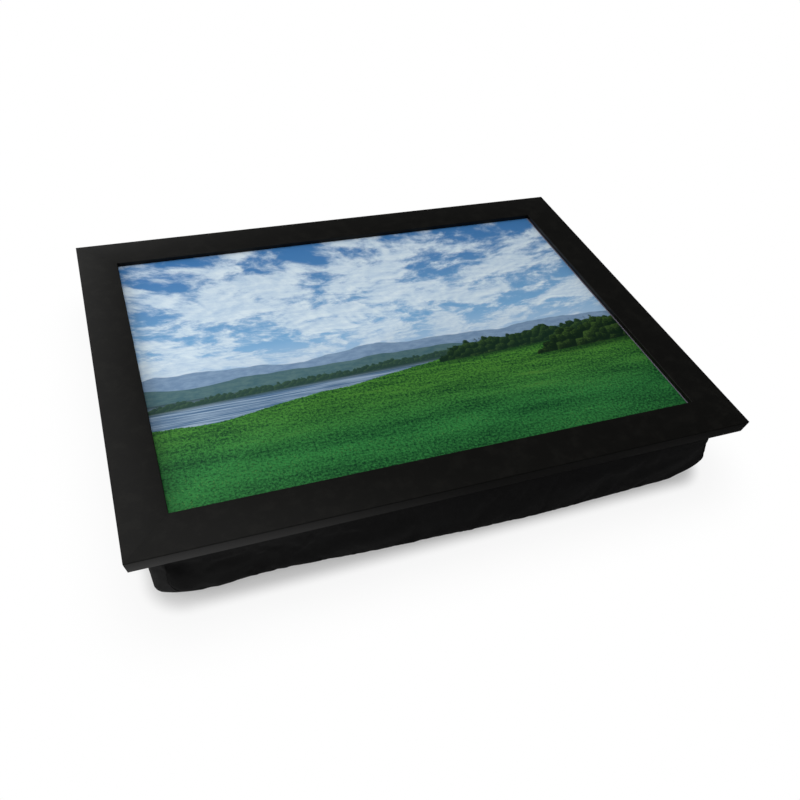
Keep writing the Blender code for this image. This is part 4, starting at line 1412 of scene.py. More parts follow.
    def face(self, at_front: bool) -> Array:
        """Grid of the front or back: rows up from the lower edge and columns from left to right.

        The face stands out from its seam by a bulge: a quarter ellipse up from the base, times a quarter sine
        wave in from each end, times a slow fall towards the ends. It draws in again towards the top.

        Args:
            at_front: whether it is the front.

        Returns:
            The grid's points.
        """
        rolls = (self.left_roll, self.right_roll) if at_front else (self.back_roll, self.back_roll)
        outline = Outline(self.seam_left, self.seam_right, self.seam_rise, self.top, *rolls, *self.seam_lean)
        across, height, low = outline.rows(self.turns, self.flats, self.rise_shares)
        if at_front:
            across = outline.leaned(across, height)
        half = (self.seam_right - self.seam_left) / 2.0
        middle = (self.seam_right + self.seam_left) / 2.0
        ends = sine_rise(half - np.abs(across - middle), self.end_roll)
        base = quarter_rise(height - low, self.base_roll)
        crown = 1.0 - (self.crown_share if at_front else 0.0) * ((across - middle) / half) ** 2
        draw = np.clip((height - self.top_draw_start) / (self.top - self.top_draw_start), 0.0, 1.0)
        bulge = self.seam_depth * ends * base * crown * (1.0 - self.top_draw_share * draw ** 2)
        if at_front:
            depth = self.front_y + self.seam_depth - self.settled(across) * (1.0 - draw) - bulge
        else:
            depth = self.back_y - self.seam_depth + bulge
        return np.stack([across, depth, height], axis=-1)

    @staticmethod
    def rim(face: Array) -> Array:
        """Points down the left edge of a face, along its lower edge and up its right edge."""
        return np.concatenate([face[:0:-1, 0], face[0], face[1:, -1]])

    def band(self, front: Array, back: Array) -> Array:
        """Grid of the sides and base: rows from the front seam to the back seam, columns along the rim.

        Each row's rim lies between the nearer seam's rim and the cushion's full outline, and swells from one
        to the other over a short stretch, like the first quarter of a sine wave.

        Args:
            front, back: grids of the two faces.

        Returns:
            The grid's points.
        """
        full = Outline(self.side_left, self.side_right, 0.0, self.top, self.side_roll, self.side_roll,
                       *self.side_lean)
        across, height, _ = full.rows(self.turns, self.flats, self.rise_shares)
        full_rim = self.rim(np.stack([full.leaned(across, height), height], axis=-1))
        front_rim, back_rim = self.rim(front), self.rim(back)
        span = (back_rim[:, 1] - front_rim[:, 1]).mean()
        near = np.array(self.near_stations) / span
        between = round((span - 2.0 * near[-1] * span) / self.station_step) + 1
        inner = np.linspace(near[-1], 1.0 - near[-1], between)
        share = np.concatenate([near[:-1], inner, 1.0 - near[:-1][::-1]])[:, None]
        depth = front_rim[:, 1] * (1.0 - share) + back_rim[:, 1] * share
        fullness = sine_rise(np.minimum(share, 1.0 - share) * span, self.side_spread)[..., None]
        seam = np.where(share[..., None] < 0.5, front_rim[None, :, ::2], back_rim[None, :, ::2])
        rim = seam * (1.0 - fullness) + full_rim * fullness
        return np.stack([rim[..., 0], depth, rim[..., 1]], axis=-1)

    @staticmethod
    def top_grid(front: Array, back: Array, band: Array) -> Array:
        """Grid of the top between the four top edges: each point is the blend of the two curves across it and
        the two along it, less the blend of the four corners."""
        lower, upper, left, right = front[-1], back[-1], band[:, 0], band[:, -1]
        u = np.linspace(0.0, 1.0, lower.shape[0])[None, :, None]
        v = np.linspace(0.0, 1.0, left.shape[0])[:, None, None]
        corners = (lower[0] * (1 - u) * (1 - v) + lower[-1] * u * (1 - v) + upper[0] * (1 - u) * v
                   + upper[-1] * u * v)
        return lower * (1 - v) + upper * v + left[:, None] * (1 - u) + right[:, None] * u - corners

    def welded(self, grids: Sequence[Array]) -> tuple[Array, list[Array]]:
        """Merge the points that grids share.

        Args:
            grids: grids whose edges meet.

        Returns:
            The separate points, and for each grid the numbers of its points.
        """
        stacked = np.concatenate([grid.reshape(-1, 3) for grid in grids])
        keys = np.round(stacked / self.weld).astype(np.int64)
        _, first, inverse = np.unique(keys, axis=0, return_index=True, return_inverse=True)
        ends = np.cumsum([grid.shape[0] * grid.shape[1] for grid in grids])[:-1]
        parts = np.split(inverse.ravel(), ends)
        return stacked[first], [part.reshape(grid.shape[:2]) for part, grid in zip(parts, grids)]

    def held_share(self, grids: Sequence[Array], indices: Sequence[Array], count: int) -> Array:
        """How firmly each point is held: fully at the top, the floor and the zip, not at all on the sides."""
        held = np.zeros(count)
        free_top, fast_top = self.held_top
        free_floor, fast_floor = self.held_floor
        for grid, index in zip(grids, indices):
            height = grid[..., 2]
            near_top = np.clip((height - (self.top + free_top)) / (fast_top - free_top), 0.0, 1.0)
            near_floor = np.clip((free_floor - height) / (free_floor - fast_floor), 0.0, 1.0)
            np.maximum.at(held, index, np.maximum(near_top, near_floor))
        x, z = grids[1][..., 0], grids[1][..., 2]
        beside, above = self.held_round_zip
        by_zip = ((x > self.zip_left - beside) & (x < self.zip_right + beside)
                  & (z > self.zip_low - above) & (z < self.zip_high + above))
        np.maximum.at(held, indices[1], by_zip.astype(float))
        np.maximum.at(held, indices[3], 1.0)
        return held

    # Panels

    def places(self, count: int, step: float, sewn: tuple[bool, bool]) -> Array:
        """Places to read a grid at: an even step, with more places close to the edges that are sewn."""
        near = np.array(self.near_seam)
        made = [np.linspace(0.0, count - 1.0, round((count - 1) / step) + 1)]
        made += [side for side, is_sewn in zip((near, count - 1.0 - near), sewn) if is_sewn]
        joined = np.unique(np.round(np.concatenate(made), 4))
        return joined[np.concatenate([[True], np.diff(joined) > self.closest])]

    def between(self, places: Array, first: float, last: float) -> Array:
        """The places inside a stretch, with its ends and two places close to each end."""
        inside = places[(places > first + self.cut_gap) & (places < last - self.cut_gap)]
        near = np.array(self.near_cut)
        return np.concatenate([first + near, inside, (last - near)[::-1]])

    @staticmethod
    def waves(run: Array, seed: int, lengths: Sequence[float]) -> Array:
        """A smooth uneven wave along a seam: sines of unlike lengths with shifts set by the seed."""
        count = len(lengths)
        shifts = np.random.default_rng(seed).uniform(0.0, FULL_TURN, count)
        return sum(np.sin(FULL_TURN * run / length + shift) for length, shift in zip(lengths, shifts)) / count

    def puckered(self, grid: Array, panel: Panel, calm: Array | float) -> Array:
        """Push a grid in and out along its normals: small puckers from the seams and broad soft waves.

        Args:
            grid: the panel's points.
            panel: how it is sewn.
            calm: share by which the relief is let through at each point.

        Returns:
            The panel's points with its relief.
        """
        away = edge_steps(grid)
        up, _, right, _ = away
        low = np.clip(grid[..., 2] / self.pucker_low, self.pucker_least, 1.0)
        relief = np.zeros(grid.shape[:2])
        for number, (is_sewn, off, run) in enumerate(zip(panel.sewn, away, (right, right, up, up))):
            if is_sewn:
                tight = np.exp(-off / self.pucker_reach) * np.minimum(1.0, off / self.pucker_rise) * low
                relief += self.pucker * tight * self.waves(run, panel.seed + number, self.pucker_lengths)
        broad = self.waves(right + self.along_slant * up, panel.seed + 10, self.along_lengths)
        broad += self.waves(up + self.upward_slant * right, panel.seed + 11, self.upward_lengths)
        relief += self.wave * broad * np.minimum(1.0, nearest_edge(grid) / self.wave_rise)
        return grid + grid_normals(grid) * (panel.outward * relief * calm)[..., None]

    def folded(self, grid: Array) -> Array:
        """Raise the front panel's long folds, which fade at the seams."""
        relief = sum(fold.relief(grid) for fold in self.folds)
        relief *= np.minimum(1.0, nearest_edge(grid, self.front_sewn) / self.fold_fade)
        return grid - np.array([0.0, 1.0, 0.0]) * relief[..., None]

    def sewn_in(self, panel: Panel, grid: Array, inward: Array, calm: Array | float = 1.0) -> None:
        """Make a panel with its relief and its edges.

        A sewn edge turns into its seam along the first quarter of a sine wave, and a hemmed panel's free
        edge turns under along a quarter ellipse.

        Args:
            panel: the panel.
            grid: points of its outer side.
            inward: direction into the cushion at each of them.
            calm: share by which the relief is let through at each point.
        """
        grid = self.puckered(grid, panel, calm)
        dip = panel.dip * (1.0 - sine_rise(nearest_edge(grid, panel.sewn), self.seam_width))
        grid = grid + inward * dip[..., None]
        if panel.hemmed:
            free = tuple(not edge for edge in panel.sewn)
            drop = self.hem_drop * (1.0 - quarter_rise(nearest_edge(grid, free), self.hem_width))
            grid = grid + grid_normals(grid) * drop[..., None]
        inner = grid - grid_normals(grid) * (panel.outward * self.cloth)
        grid[..., 2] = np.maximum(grid[..., 2], 0.0)
        inner[..., 2] = np.clip(inner[..., 2], 0.5 * self.cloth, self.top)
        run = steps_from_edge(grid, 1).mean(axis=0)
        rise = steps_from_edge(grid, 0).mean(axis=1)
        place = np.stack(np.broadcast_arrays(run[None], rise[:, None]), axis=-1)
        closed = sheet(grid, inner)
        self.cloth_piece(panel.node, closed if panel.outward > 0.0 else closed.flipped(), place)

    def cloth_piece(self, node: str, closed: Shell, place: Array) -> None:
        """Make a closed sheet of cloth a piece for its node, laid out alike on both of its sides."""
        name = node.replace("cushion_", "").replace("end_", "")
        unrolled = np.concatenate([place.reshape(-1, 2)] * 2)
        piece = make_piece(name, closed, CUSHION_CLOTH, Body.CUSHION, [node], unrolled,
                           self.crease)

    def build(self) -> tuple[Array, Array, list[Array]]:
        """Make the cover's pieces.

        Returns:
            Points of the filled skin, its faces, and the vertex numbers of its four grids.
        """
        front, back = self.face(True), self.face(False)
        band = self.band(front, back)
        grids = [front, back, band, self.top_grid(front, back, band)]
        points, indices = self.welded(grids)
        faces = [quads_over(index) for index in indices]
        quads = np.concatenate([faces[0], faces[1][:, ::-1], faces[2][:, ::-1], faces[3]])
        skin = self.filling.filled(points, quads, self.held_share(grids, indices, len(points)))
        inward = -vertex_normals(skin, quads)
        inward[:, 2] = np.maximum(inward[:, 2], 0.0)
        self.build_front(skin[indices[0]], inward[indices[0]])
        self.build_band(skin[indices[2]], inward[indices[2]])
        self.build_back(skin[indices[1]], inward[indices[1]])
        self.build_top(skin[indices[3]])
        return skin, quads, indices

    def build_front(self, front: Array, inward: Array) -> None:
        """The front panel with its long folds."""
        panel = Panel("cushion_front_panel", 1.0, self.front_sewn, 3, self.panel_dip)
        where = [self.places(count, step, (True, True)) for count, step in zip(front.shape, self.panel_steps)]
        self.sewn_in(panel, self.folded(resample(front, *where)), unit(resample(inward, *where)))

    def build_band(self, band: Array, inward: Array) -> None:
        """The band round the sides and base, calm where it lies on the floor."""
        panel = Panel("cushion_wrap_band", -1.0, (True, True, False, False), 23, self.band_dip)
        (rows, columns), (row_step, column_step) = band.shape[:2], self.band_steps
        where = self.places(rows, row_step, (True, True)), self.places(columns, column_step, (False, False))
        fine = resample(band, *where)
        start, rise = self.band_calm
        off_floor = np.clip((fine[..., 2] - start) / rise, 0.0, 1.0)
        self.sewn_in(panel, fine, unit(resample(inward, *where)), off_floor)

    def build_back(self, back: Array, inward: Array) -> None:
        """Split the back at the zip into a lower and an upper panel and the tabs at the zip's ends."""
        rows, columns = back.shape[:2]
        up, across = back[:, columns // 2, 2], back[rows // 2, :, 0]
        low_row, high_row = np.interp((self.zip_low, self.zip_high), up, np.arange(rows))
        left_column, right_column = np.interp((self.zip_left, self.zip_right), across, np.arange(columns))
        whole, tab_rows = (0.0, columns - 1.0), (low_row + self.tab_gap, high_row - self.tab_gap)
        parts = (
            ("cushion_back_lower_panel", (0.0, low_row), whole, (True, False, True, True)),
            ("cushion_back_upper_panel", (high_row, rows - 1.0), whole, (False, False, True, True)),
            ("zip_end_tab_left", tab_rows, (0.0, left_column), (False, False, True, False)),
            ("zip_end_tab_right", tab_rows, (right_column, columns - 1.0), (False, False, False, True)),
        )
        half_length, middle = 0.5 * (self.zip_right - self.zip_left), 0.5 * (self.zip_low + self.zip_high)
        row_step, column_step = self.panel_steps
        beside, above = self.zip_calm
        for number, (node, row_span, column_span, sewn) in enumerate(parts):
            where = (self.between(self.places(rows, row_step, (True, False)), *row_span),
                     self.between(self.places(columns, column_step, (True, True)), *column_span))
            fine = resample(back, *where)
            off_end = np.clip((np.abs(fine[..., 0]) - half_length) / beside, 0.0, 1.0)
            off_zip = np.clip(np.abs(fine[..., 2] - middle) / above - 2.0, 0.0, 1.0)
            panel = Panel(node, -1.0, sewn, 41 + 7 * number, self.panel_dip, hemmed=True)
            self.sewn_in(panel, fine, unit(resample(inward, *where)), np.maximum(off_end, off_zip))

    def build_top(self, top: Array) -> None:
        """The panel under the tray, flat where the tray rests and turned down at its seam."""
        low, high = box_of("cushion_top_panel")
        outer = resample(top, *(self.places(count, step, (True, True))
                                for count, step in zip(top.shape, self.top_steps)))
        fall = (high[2] - low[2]) * self.top_fall * (1.0 - quarter_rise(nearest_edge(outer), self.top_roll))
        outer[..., 2] = high[2] - fall
        inner = outer.copy()
        inner[..., 2] = low[2]
        self.cloth_piece("cushion_top_panel", sheet(outer, inner), outer[..., :2])


@dataclass
class BeadFilling:
    """The beads, as one body that follows the cover from inside."""

    clearance: float = 2.6 * MM
    behind_zip: float = 4.6 * MM
    behind_seam: float = 6.5 * MM
    seam_reach: float = 5.0 * MM
    under_top: float = 0.2 * MM

    def build(self, skin: Array, quads: Array, indices: Sequence[Array], top: float) -> None:
        """Draw the filled skin's sides in along their normals, and close them with a level top.

        The inset is larger behind the zip, and from each seam it falls like an exponential of the distance
        along the panel.

        Args:
            skin: points of the filled skin.
            quads: its faces.
            indices: vertex numbers of its front, back, band and top grids.
            top: height of the cover's sides.
        """
        inset = np.full(len(skin), self.clearance)
        inset[indices[1].ravel()] = self.behind_zip
        for index in indices[:3]:
            share = np.exp(-nearest_edge(skin[index]) / self.seam_reach)
            np.maximum.at(inset, index, self.clearance + (self.behind_seam - self.clearance) * share)
        rows, columns = indices[3].shape
        sides = quads[:-(rows - 1) * (columns - 1)]
        points = skin - vertex_normals(skin, sides) * inset[:, None]
        points[:, 2] = np.clip(points[:, 2], self.clearance, top - self.under_top)
        points[indices[3]] = CushionCover.top_grid(*(points[index] for index in indices[:3]))
        piece = make_piece("beads", Shell(points, [quads]), BEADS, Body.CUSHION, ["bead_filling"])


# Fastenings


@dataclass
class HookAndLoop:
    """Strips that hold the tray on the cushion: bent hooks above and soft loops below."""

    backing: float = 0.35 * MM
    backing_edge: float = 0.08 * MM
    corner: float = 3.0 * MM
    border: float = 1.6 * MM
    pitch: float = 1.9 * MM
    scatter: float = 0.12
    hook_radius: float = 0.11 * MM
    hook_stem: float = 0.5
    hook_bend: float = 0.36
    hook_turn: float = 1.35
    loop_radius: float = 0.07 * MM
    loop_bend: float = 0.36
    bend_points: int = 7
    sides: int = 5
    crease: float = 50.0

    def hook(self, free: float) -> Array:
        """Places along and up of a hook: a stem, then an arc of more than half a turn."""
        bend, stem = free * self.hook_bend, free * self.hook_stem
        angle = np.linspace(0.0, 1.0, self.bend_points)[1:] * self.hook_turn * math.pi
        arc = np.stack([bend * (1.0 - np.cos(angle)), stem + bend * np.sin(angle)], axis=-1)
        return np.concatenate([[(0.0, 0.0), (0.0, stem)], arc])

    def loop(self, free: float) -> Array:
        """Places along and up of a loop: half an ellipse."""
        angle = np.linspace(0.0, 1.0, self.bend_points) * math.pi
        wide = self.pitch * self.loop_bend
        return np.stack([wide * (1.0 - np.cos(angle)), (free - self.loop_radius) * np.sin(angle)], axis=-1)

    def strip(self, node: str) -> None:
        """Make one strip in its node's place, with hooks that hang down or loops that stand up."""
        is_hook = node.startswith("hook")
        low, high = box_of(node)
        size, centre = high - low, (low + high) / 2.0
        plan = oblong(size[0], size[1], self.corner) + centre[:2]
        band = (high[2] - self.backing, high[2]) if is_hook else (low[2], low[2] + self.backing)
        free = size[2] - self.backing
        path = self.hook(free) if is_hook else self.loop(free)
        along = np.arange(low[0] + self.border, high[0] - self.border - path[:, 0].max(), self.pitch)
        rows = np.arange(low[1] + self.border, high[1] - self.border, self.pitch)
        feet = np.stack(np.meshgrid(along, rows), axis=-1).reshape(-1, 2)
        random = np.random.default_rng(sum(node.encode()))
        feet += random.uniform(-self.scatter, self.scatter, feet.shape) * self.pitch
        height = band[0] - path[:, 1] if is_hook else band[1] + path[:, 1]
        flat = np.stack([path[:, 0], np.zeros(len(path)), height], axis=-1)
        paths = flat[None] + np.column_stack([feet, np.zeros(len(feet))])[:, None]
        radius = self.hook_radius if is_hook else self.loop_radius
        shell = Shell.joined([slab(plan, *band, self.backing_edge, 2),
                              rods(paths, radius, self.sides, ALONG_Y)])
        make_piece(node.replace("_strip", "_tape"), shell, HOOK_NYLON, Body.TRAY if is_hook else Body.CUSHION,
                   [node], crease=self.crease)

    def build(self) -> None:
        """Make all eight strips."""
        for node in nodes_named("hook_strip", "loop_strip"):
            self.strip(node)


def standing(middle_x: float, back_y: float, middle_z: float) -> Matrix:
    """Stands a plate that lies on z = 0 upright, with its lower face to the back at a place."""
    return Matrix.Translation((middle_x, back_y, middle_z)) @ Matrix.Rotation(QUARTER_TURN, 4, "X")


@dataclass
class Zip:
    """Closed-end coil zip: woven tapes, interlocking teeth, stops, a slider with its bridge and a pull."""

    tape_corner: float = 0.4 * MM
    tape_edge: float = 0.14 * MM
    pitch: float = 1.30 * MM
    tooth_radius: float = 0.30 * MM
    tip: float = 0.28 * MM
    cord_inset: float = 0.9 * MM
    cord_share: float = 0.8
    stop_corner: float = 0.7 * MM
    stop_edge: float = 0.35 * MM
    stop_groove: float = 0.5 * MM
    stitch_pitch: float = 3.0 * MM
    stitch_length: float = 2.2 * MM
    stitch_radius: float = 0.20 * MM
    stitch_inset: float = 2.6 * MM
    stitch_proud: float = 0.35
    stitch_dive: float = 0.45 * MM
    stitch_crown: float = 0.05 * MM
    stitch_flat: float = 0.8
    thread_crease: float = 60.0
    metal_crease: float = 40.0
    plate_edge: float = 0.30 * MM
    plate_thickness: float = 1.05 * MM
    plate_corner: float = 0.28
    outer_waist: float = 0.16
    inner_waist: float = 0.14
    inner_size: Range = (0.96, 0.76)
    slider_gap: float = 0.25 * MM
    flange_share: float = 0.86
    flange_width: float = 0.8 * MM
    flange_inset: float = 1.0 * MM
    web: Range = (2.6 * MM, 0.44 * MM)
    web_inset: float = 1.9 * MM
    half_eye: float = 2.7 * MM
    bridge: Range = (0.9 * MM, 1.9 * MM)
    bridge_sink: float = 0.4 * MM
    bridge_powers: Range = (0.75, 0.7)
    bridge_points: int = 17
    pull_corner: float = 2.0 * MM
    pull_edge: float = 0.4 * MM
    pull_waist: Range = (0.82, 0.18)
    ring_width: float = 1.2 * MM
    ring_reach: float = 4.1 * MM
    hollow: Range = (0.36, 0.34)
    hollow_place: float = -0.20
    hollow_level: float = 0.32

    def tapes(self) -> None:
        """Woven tapes: thin plates with soft edges."""
        for side in ("upper", "lower"):
            low, high = box_of(f"zip_tape_{side}")
            centre, size = (low + high) / 2.0, high - low
            plan = oblong(size[0], size[2], self.tape_corner)
            shell = slab(plan, 0.0, size[1], self.tape_edge, 2)
            make_piece(f"tape_{side}", shell.turned(standing(centre[0], high[1], centre[2])), TAPE_CLOTH,
                       Body.CUSHION, [f"zip_tape_{side}"], shell.points[:, :2].copy())

    def teeth(self) -> None:
        """Rows of teeth, those of one side half a step along from the other's.

        A tooth is a rod that rises from the tape, runs to the middle and turns back under itself.
        """
        radius = self.tooth_radius
        angle = np.linspace(-0.5, 0.5, 5) * math.pi
        for side, sign, shift in (("upper", 1.0, 0.0), ("lower", -1.0, 0.5)):
            low, high = box_of(f"zip_coil_{side}")
            outer = max(abs(low[2] - self.middle), abs(high[2] - self.middle))
            inner_y, outer_y = low[1] + radius, high[1] - radius
            bend, level = (outer_y - inner_y) / 2.0, (inner_y + outer_y) / 2.0
            nose = (self.tip + radius + bend * (1.0 - np.cos(angle)), level + bend * np.sin(angle))
            far = outer - radius
            path = np.concatenate([[(far, inner_y)], np.stack(nose, axis=-1), [(far, outer_y)]])
            places = np.arange(low[0] + radius + shift * self.pitch, high[0] - radius, self.pitch)
            flat = np.stack([np.zeros(len(path)), path[:, 1], self.middle + sign * path[:, 0]], axis=-1)
            paths = flat[None] + np.stack([places, places * 0.0, places * 0.0], axis=-1)[:, None]
            cord_z = self.middle + sign * (outer - self.cord_inset)
            cord = np.array([[(x, level, cord_z) for x in (low[0], (low[0] + high[0]) / 2.0, high[0])]])
            shells = [rods(paths, radius, 6, ALONG_X), rods(cord, bend * self.cord_share, 8, ALONG_Y)]
            make_piece(f"teeth_{side}", Shell.joined(shells), COIL_NYLON, Body.CUSHION, [f"zip_coil_{side}"],
                       crease=self.thread_crease)

    def stops(self) -> None:
        """Stops: rounded clips crimped over both coils, with a groove down the middle."""
        for side in ("left", "right"):
            low, high = box_of(f"zip_stop_{side}")
            centre, size = (low + high) / 2.0, high - low
            upright = standing(centre[0], high[1], centre[2])
            plan = oblong(size[0], size[2], self.stop_corner)
            clip = slab(plan, 0.0, size[1], self.stop_edge).turned(upright)
            piece = make_piece(f"stop_{side}", clip, ZIP_METAL, Body.CUSHION, [f"zip_stop_{side}"])
            groove = oblong(self.stop_groove, size[2] + 2.0 * MM, 0.2 * MM)
            carve(piece, slab(groove, -0.2 * MM, 0.35 * MM, 0.1 * MM, 2).turned(upright))

    def stitches(self) -> None:
        """Topstitching on the cover beside the zip, and across its ends."""
        cover_y = box_of("cushion_back_lower_panel")[1][1] + self.stitch_proud * self.stitch_radius
        low_z, high_z = self.opening[0] - self.stitch_inset, self.opening[1] + self.stitch_inset
        left = box_of("zip_end_tab_left")[1][0] - self.stitch_inset
        right = box_of("zip_end_tab_right")[0][0] + self.stitch_inset
        half, pitch = self.stitch_length / 2.0, self.stitch_pitch
        along = np.array([-half, -half * self.stitch_flat, 0.0, half * self.stitch_flat, half])
        rise = cover_y + np.array([-self.stitch_dive, 0.0, self.stitch_crown, 0.0, -self.stitch_dive])
        feet = np.array([(x, z) for z in (low_z, high_z) for x in np.arange(left, right, pitch)])
        rows = np.stack(np.broadcast_arrays(feet[:, :1] + along, rise, feet[:, 1:]), axis=-1)
        levels = np.arange(low_z + pitch, high_z - pitch / 2.0, pitch)
        feet = np.array([(x, z) for x in (left, right) for z in levels])
        ends = np.stack(np.broadcast_arrays(feet[:, :1], rise, feet[:, 1:] + along), axis=-1)
        shells = (rods(rows, self.stitch_radius, 6, ALONG_Z), rods(ends, self.stitch_radius, 6, ALONG_X))
        make_piece("zip_topstitching", Shell.joined(shells), THREAD, Body.CUSHION, crease=self.thread_crease)

    def waisted(self, length: float, width: float, waist_share: float) -> Array:
        """Outline of a slider's plate: a rounded rectangle whose long sides draw in towards one end."""
        outline = oblong(length, width, self.plate_corner * width, 6)
        along = outline[:, 0] / (length / 2.0)
        outline[:, 1] *= 1.0 - waist_share * 0.5 * (1.0 - np.cos((along + 1.0) * QUARTER_TURN))
        return outline

    def arch(self, centre_x: float, foot: float, crown: float) -> Shell:
        """The slider's bridge: a bar along an arch whose sides stand steeper than a circle's.

        Args:
            centre_x: middle of the slider.
            foot: depth at which the bar starts.
            crown: depth that it reaches.

        Returns:
            The bar.
        """
        angle = np.linspace(0.0, math.pi, self.bridge_points)
        across_power, rise_power = self.bridge_powers
        across = self.half_eye * np.sign(np.cos(angle)) * np.abs(np.cos(angle)) ** across_power
        rise = (crown - foot) * np.sin(angle) ** rise_power
        path = np.stack([centre_x + across, foot + rise, np.full(len(angle), self.middle)], axis=-1)
        normals = np.cross(unit(np.gradient(path, axis=0)), ALONG_Z)
        return swept(path, normals, oblong(*self.bridge, 0.25 * MM))

    def slider(self) -> None:
        """The slider: a crowned outer plate with flanges, a web, an inner plate and a bridge for the pull."""
        low, high = box_of("zip_slider")
        (_, coil_back, _), (_, coil_face, _) = box_of("zip_coil_upper")
        centre_x = (low[0] + high[0]) / 2.0
        length, width = high[0] - low[0], high[2] - low[2]
        upright = standing(centre_x, 0.0, self.middle)
        face = coil_face + self.slider_gap
        plate_top = face + self.plate_thickness

        def plate(outline: Array, near: float, far: float) -> Shell:
            """A rounded plate between two depths along Y."""
            edge = min(self.plate_edge, 0.4 * (far - near))
            return slab(outline, -far, -near, edge).turned(upright)

        piece = make_piece("slider", plate(self.waisted(length, width, self.outer_waist), face, plate_top),
                           ZIP_METAL, Body.SLIDER, ["zip_slider"], crease=self.metal_crease)
        flange = oblong(length * self.flange_share, self.flange_width, 0.3 * MM)
        flange_y = width / 2.0 - self.flange_inset
        web = oblong(*self.web, 0.2 * MM) + np.array([length / 2.0 - self.web_inset, 0.0])
        inner = self.waisted(length * self.inner_size[0], width * self.inner_size[1], self.inner_waist)
        additions = [plate(flange + np.array([0.0, sign * flange_y]), coil_back + 0.3 * MM, face + 0.6 * MM)
                     for sign in (-1.0, 1.0)]
        additions += [plate(web, low[1] + 0.5 * MM, face + 0.5 * MM),
                      plate(inner, low[1], box_of("zip_tape_upper")[0][1] - self.slider_gap),
                      self.arch(centre_x, plate_top - self.bridge_sink, high[1] - self.bridge[0] / 2.0)]
        for addition in additions:
            carve(piece, addition, "UNION", self.metal_crease)

    def pull(self) -> None:
        """The pull: a slim tab with an oval ring at one end and a pressed hollow down its middle."""
        low, high = box_of("zip_pull")
        slider_low, slider_high = box_of("zip_slider")
        centre, (length, thick, width) = (low + high) / 2.0, high - low
        upright = standing(centre[0], centre[1], self.middle)
        outline = oblong(length, width, self.pull_corner, 6)
        along = (outline[:, 0] + length / 2.0) / length
        least, swing = self.pull_waist
        outline[:, 1] *= least + swing * np.cos((along - 1.0) * math.pi) ** 2
        tab = slab(outline, -thick / 2.0, thick / 2.0, self.pull_edge, 4).turned(upright)
        piece = make_piece("pull", tab, ZIP_METAL, Body.PULL, ["zip_pull"],
                           crease=self.metal_crease)
        start = (slider_low[0] + slider_high[0]) / 2.0 - self.ring_reach
        end = high[0] - thick
        hole = oblong(end - start, width - 2.0 * self.ring_width, 0.7 * MM)
        hole = hole + np.array([(start + end) / 2.0 - centre[0], 0.0])
        hollow = oblong(length * self.hollow[0], width * self.hollow[1], 0.9 * MM, 5)
        hollow = hollow + np.array([length * self.hollow_place, 0.0])
        level = thick * self.hollow_level
        cutters = (slab(hole, -thick, thick, 0.1 * MM, 2), slab(hollow, level, thick, 0.15 * MM),
                   slab(hollow, -thick, -level, 0.15 * MM))
        for cutter in cutters:
            carve(piece, cutter.turned(upright), crease=self.metal_crease)

    def build(self) -> None:
        """Make the zip's pieces."""
        low, self.middle, high = zip_heights()
        self.opening = (low, high)
        self.tapes()
        self.teeth()
        self.stops()
        self.stitches()
        self.slider()
        self.pull()


# Studio


@dataclass(frozen=True)
class Lamp:
    """A square lamp aimed at the tray.

    The level is how bright white paper that faces it would look, 1 being white, and a lamp that isn't
    mirrored doesn't show in gloss.
    """

    name: str
    place: Place
    size: float
    level: float
    mirrored: bool = True

    def build(self) -> None:
        """Hang the lamp."""
        data = bpy.data.lights.new(self.name, "AREA")
        data.size = self.size
        data.energy = self.level * math.pi ** 2 * Vector(self.place).length ** 2
        lamp = placed(self.name, data)
        lamp.location = self.place
        lamp.rotation_euler = Vector(self.place).to_track_quat("Z", "Y").to_euler()
        lamp.visible_glossy = self.mirrored


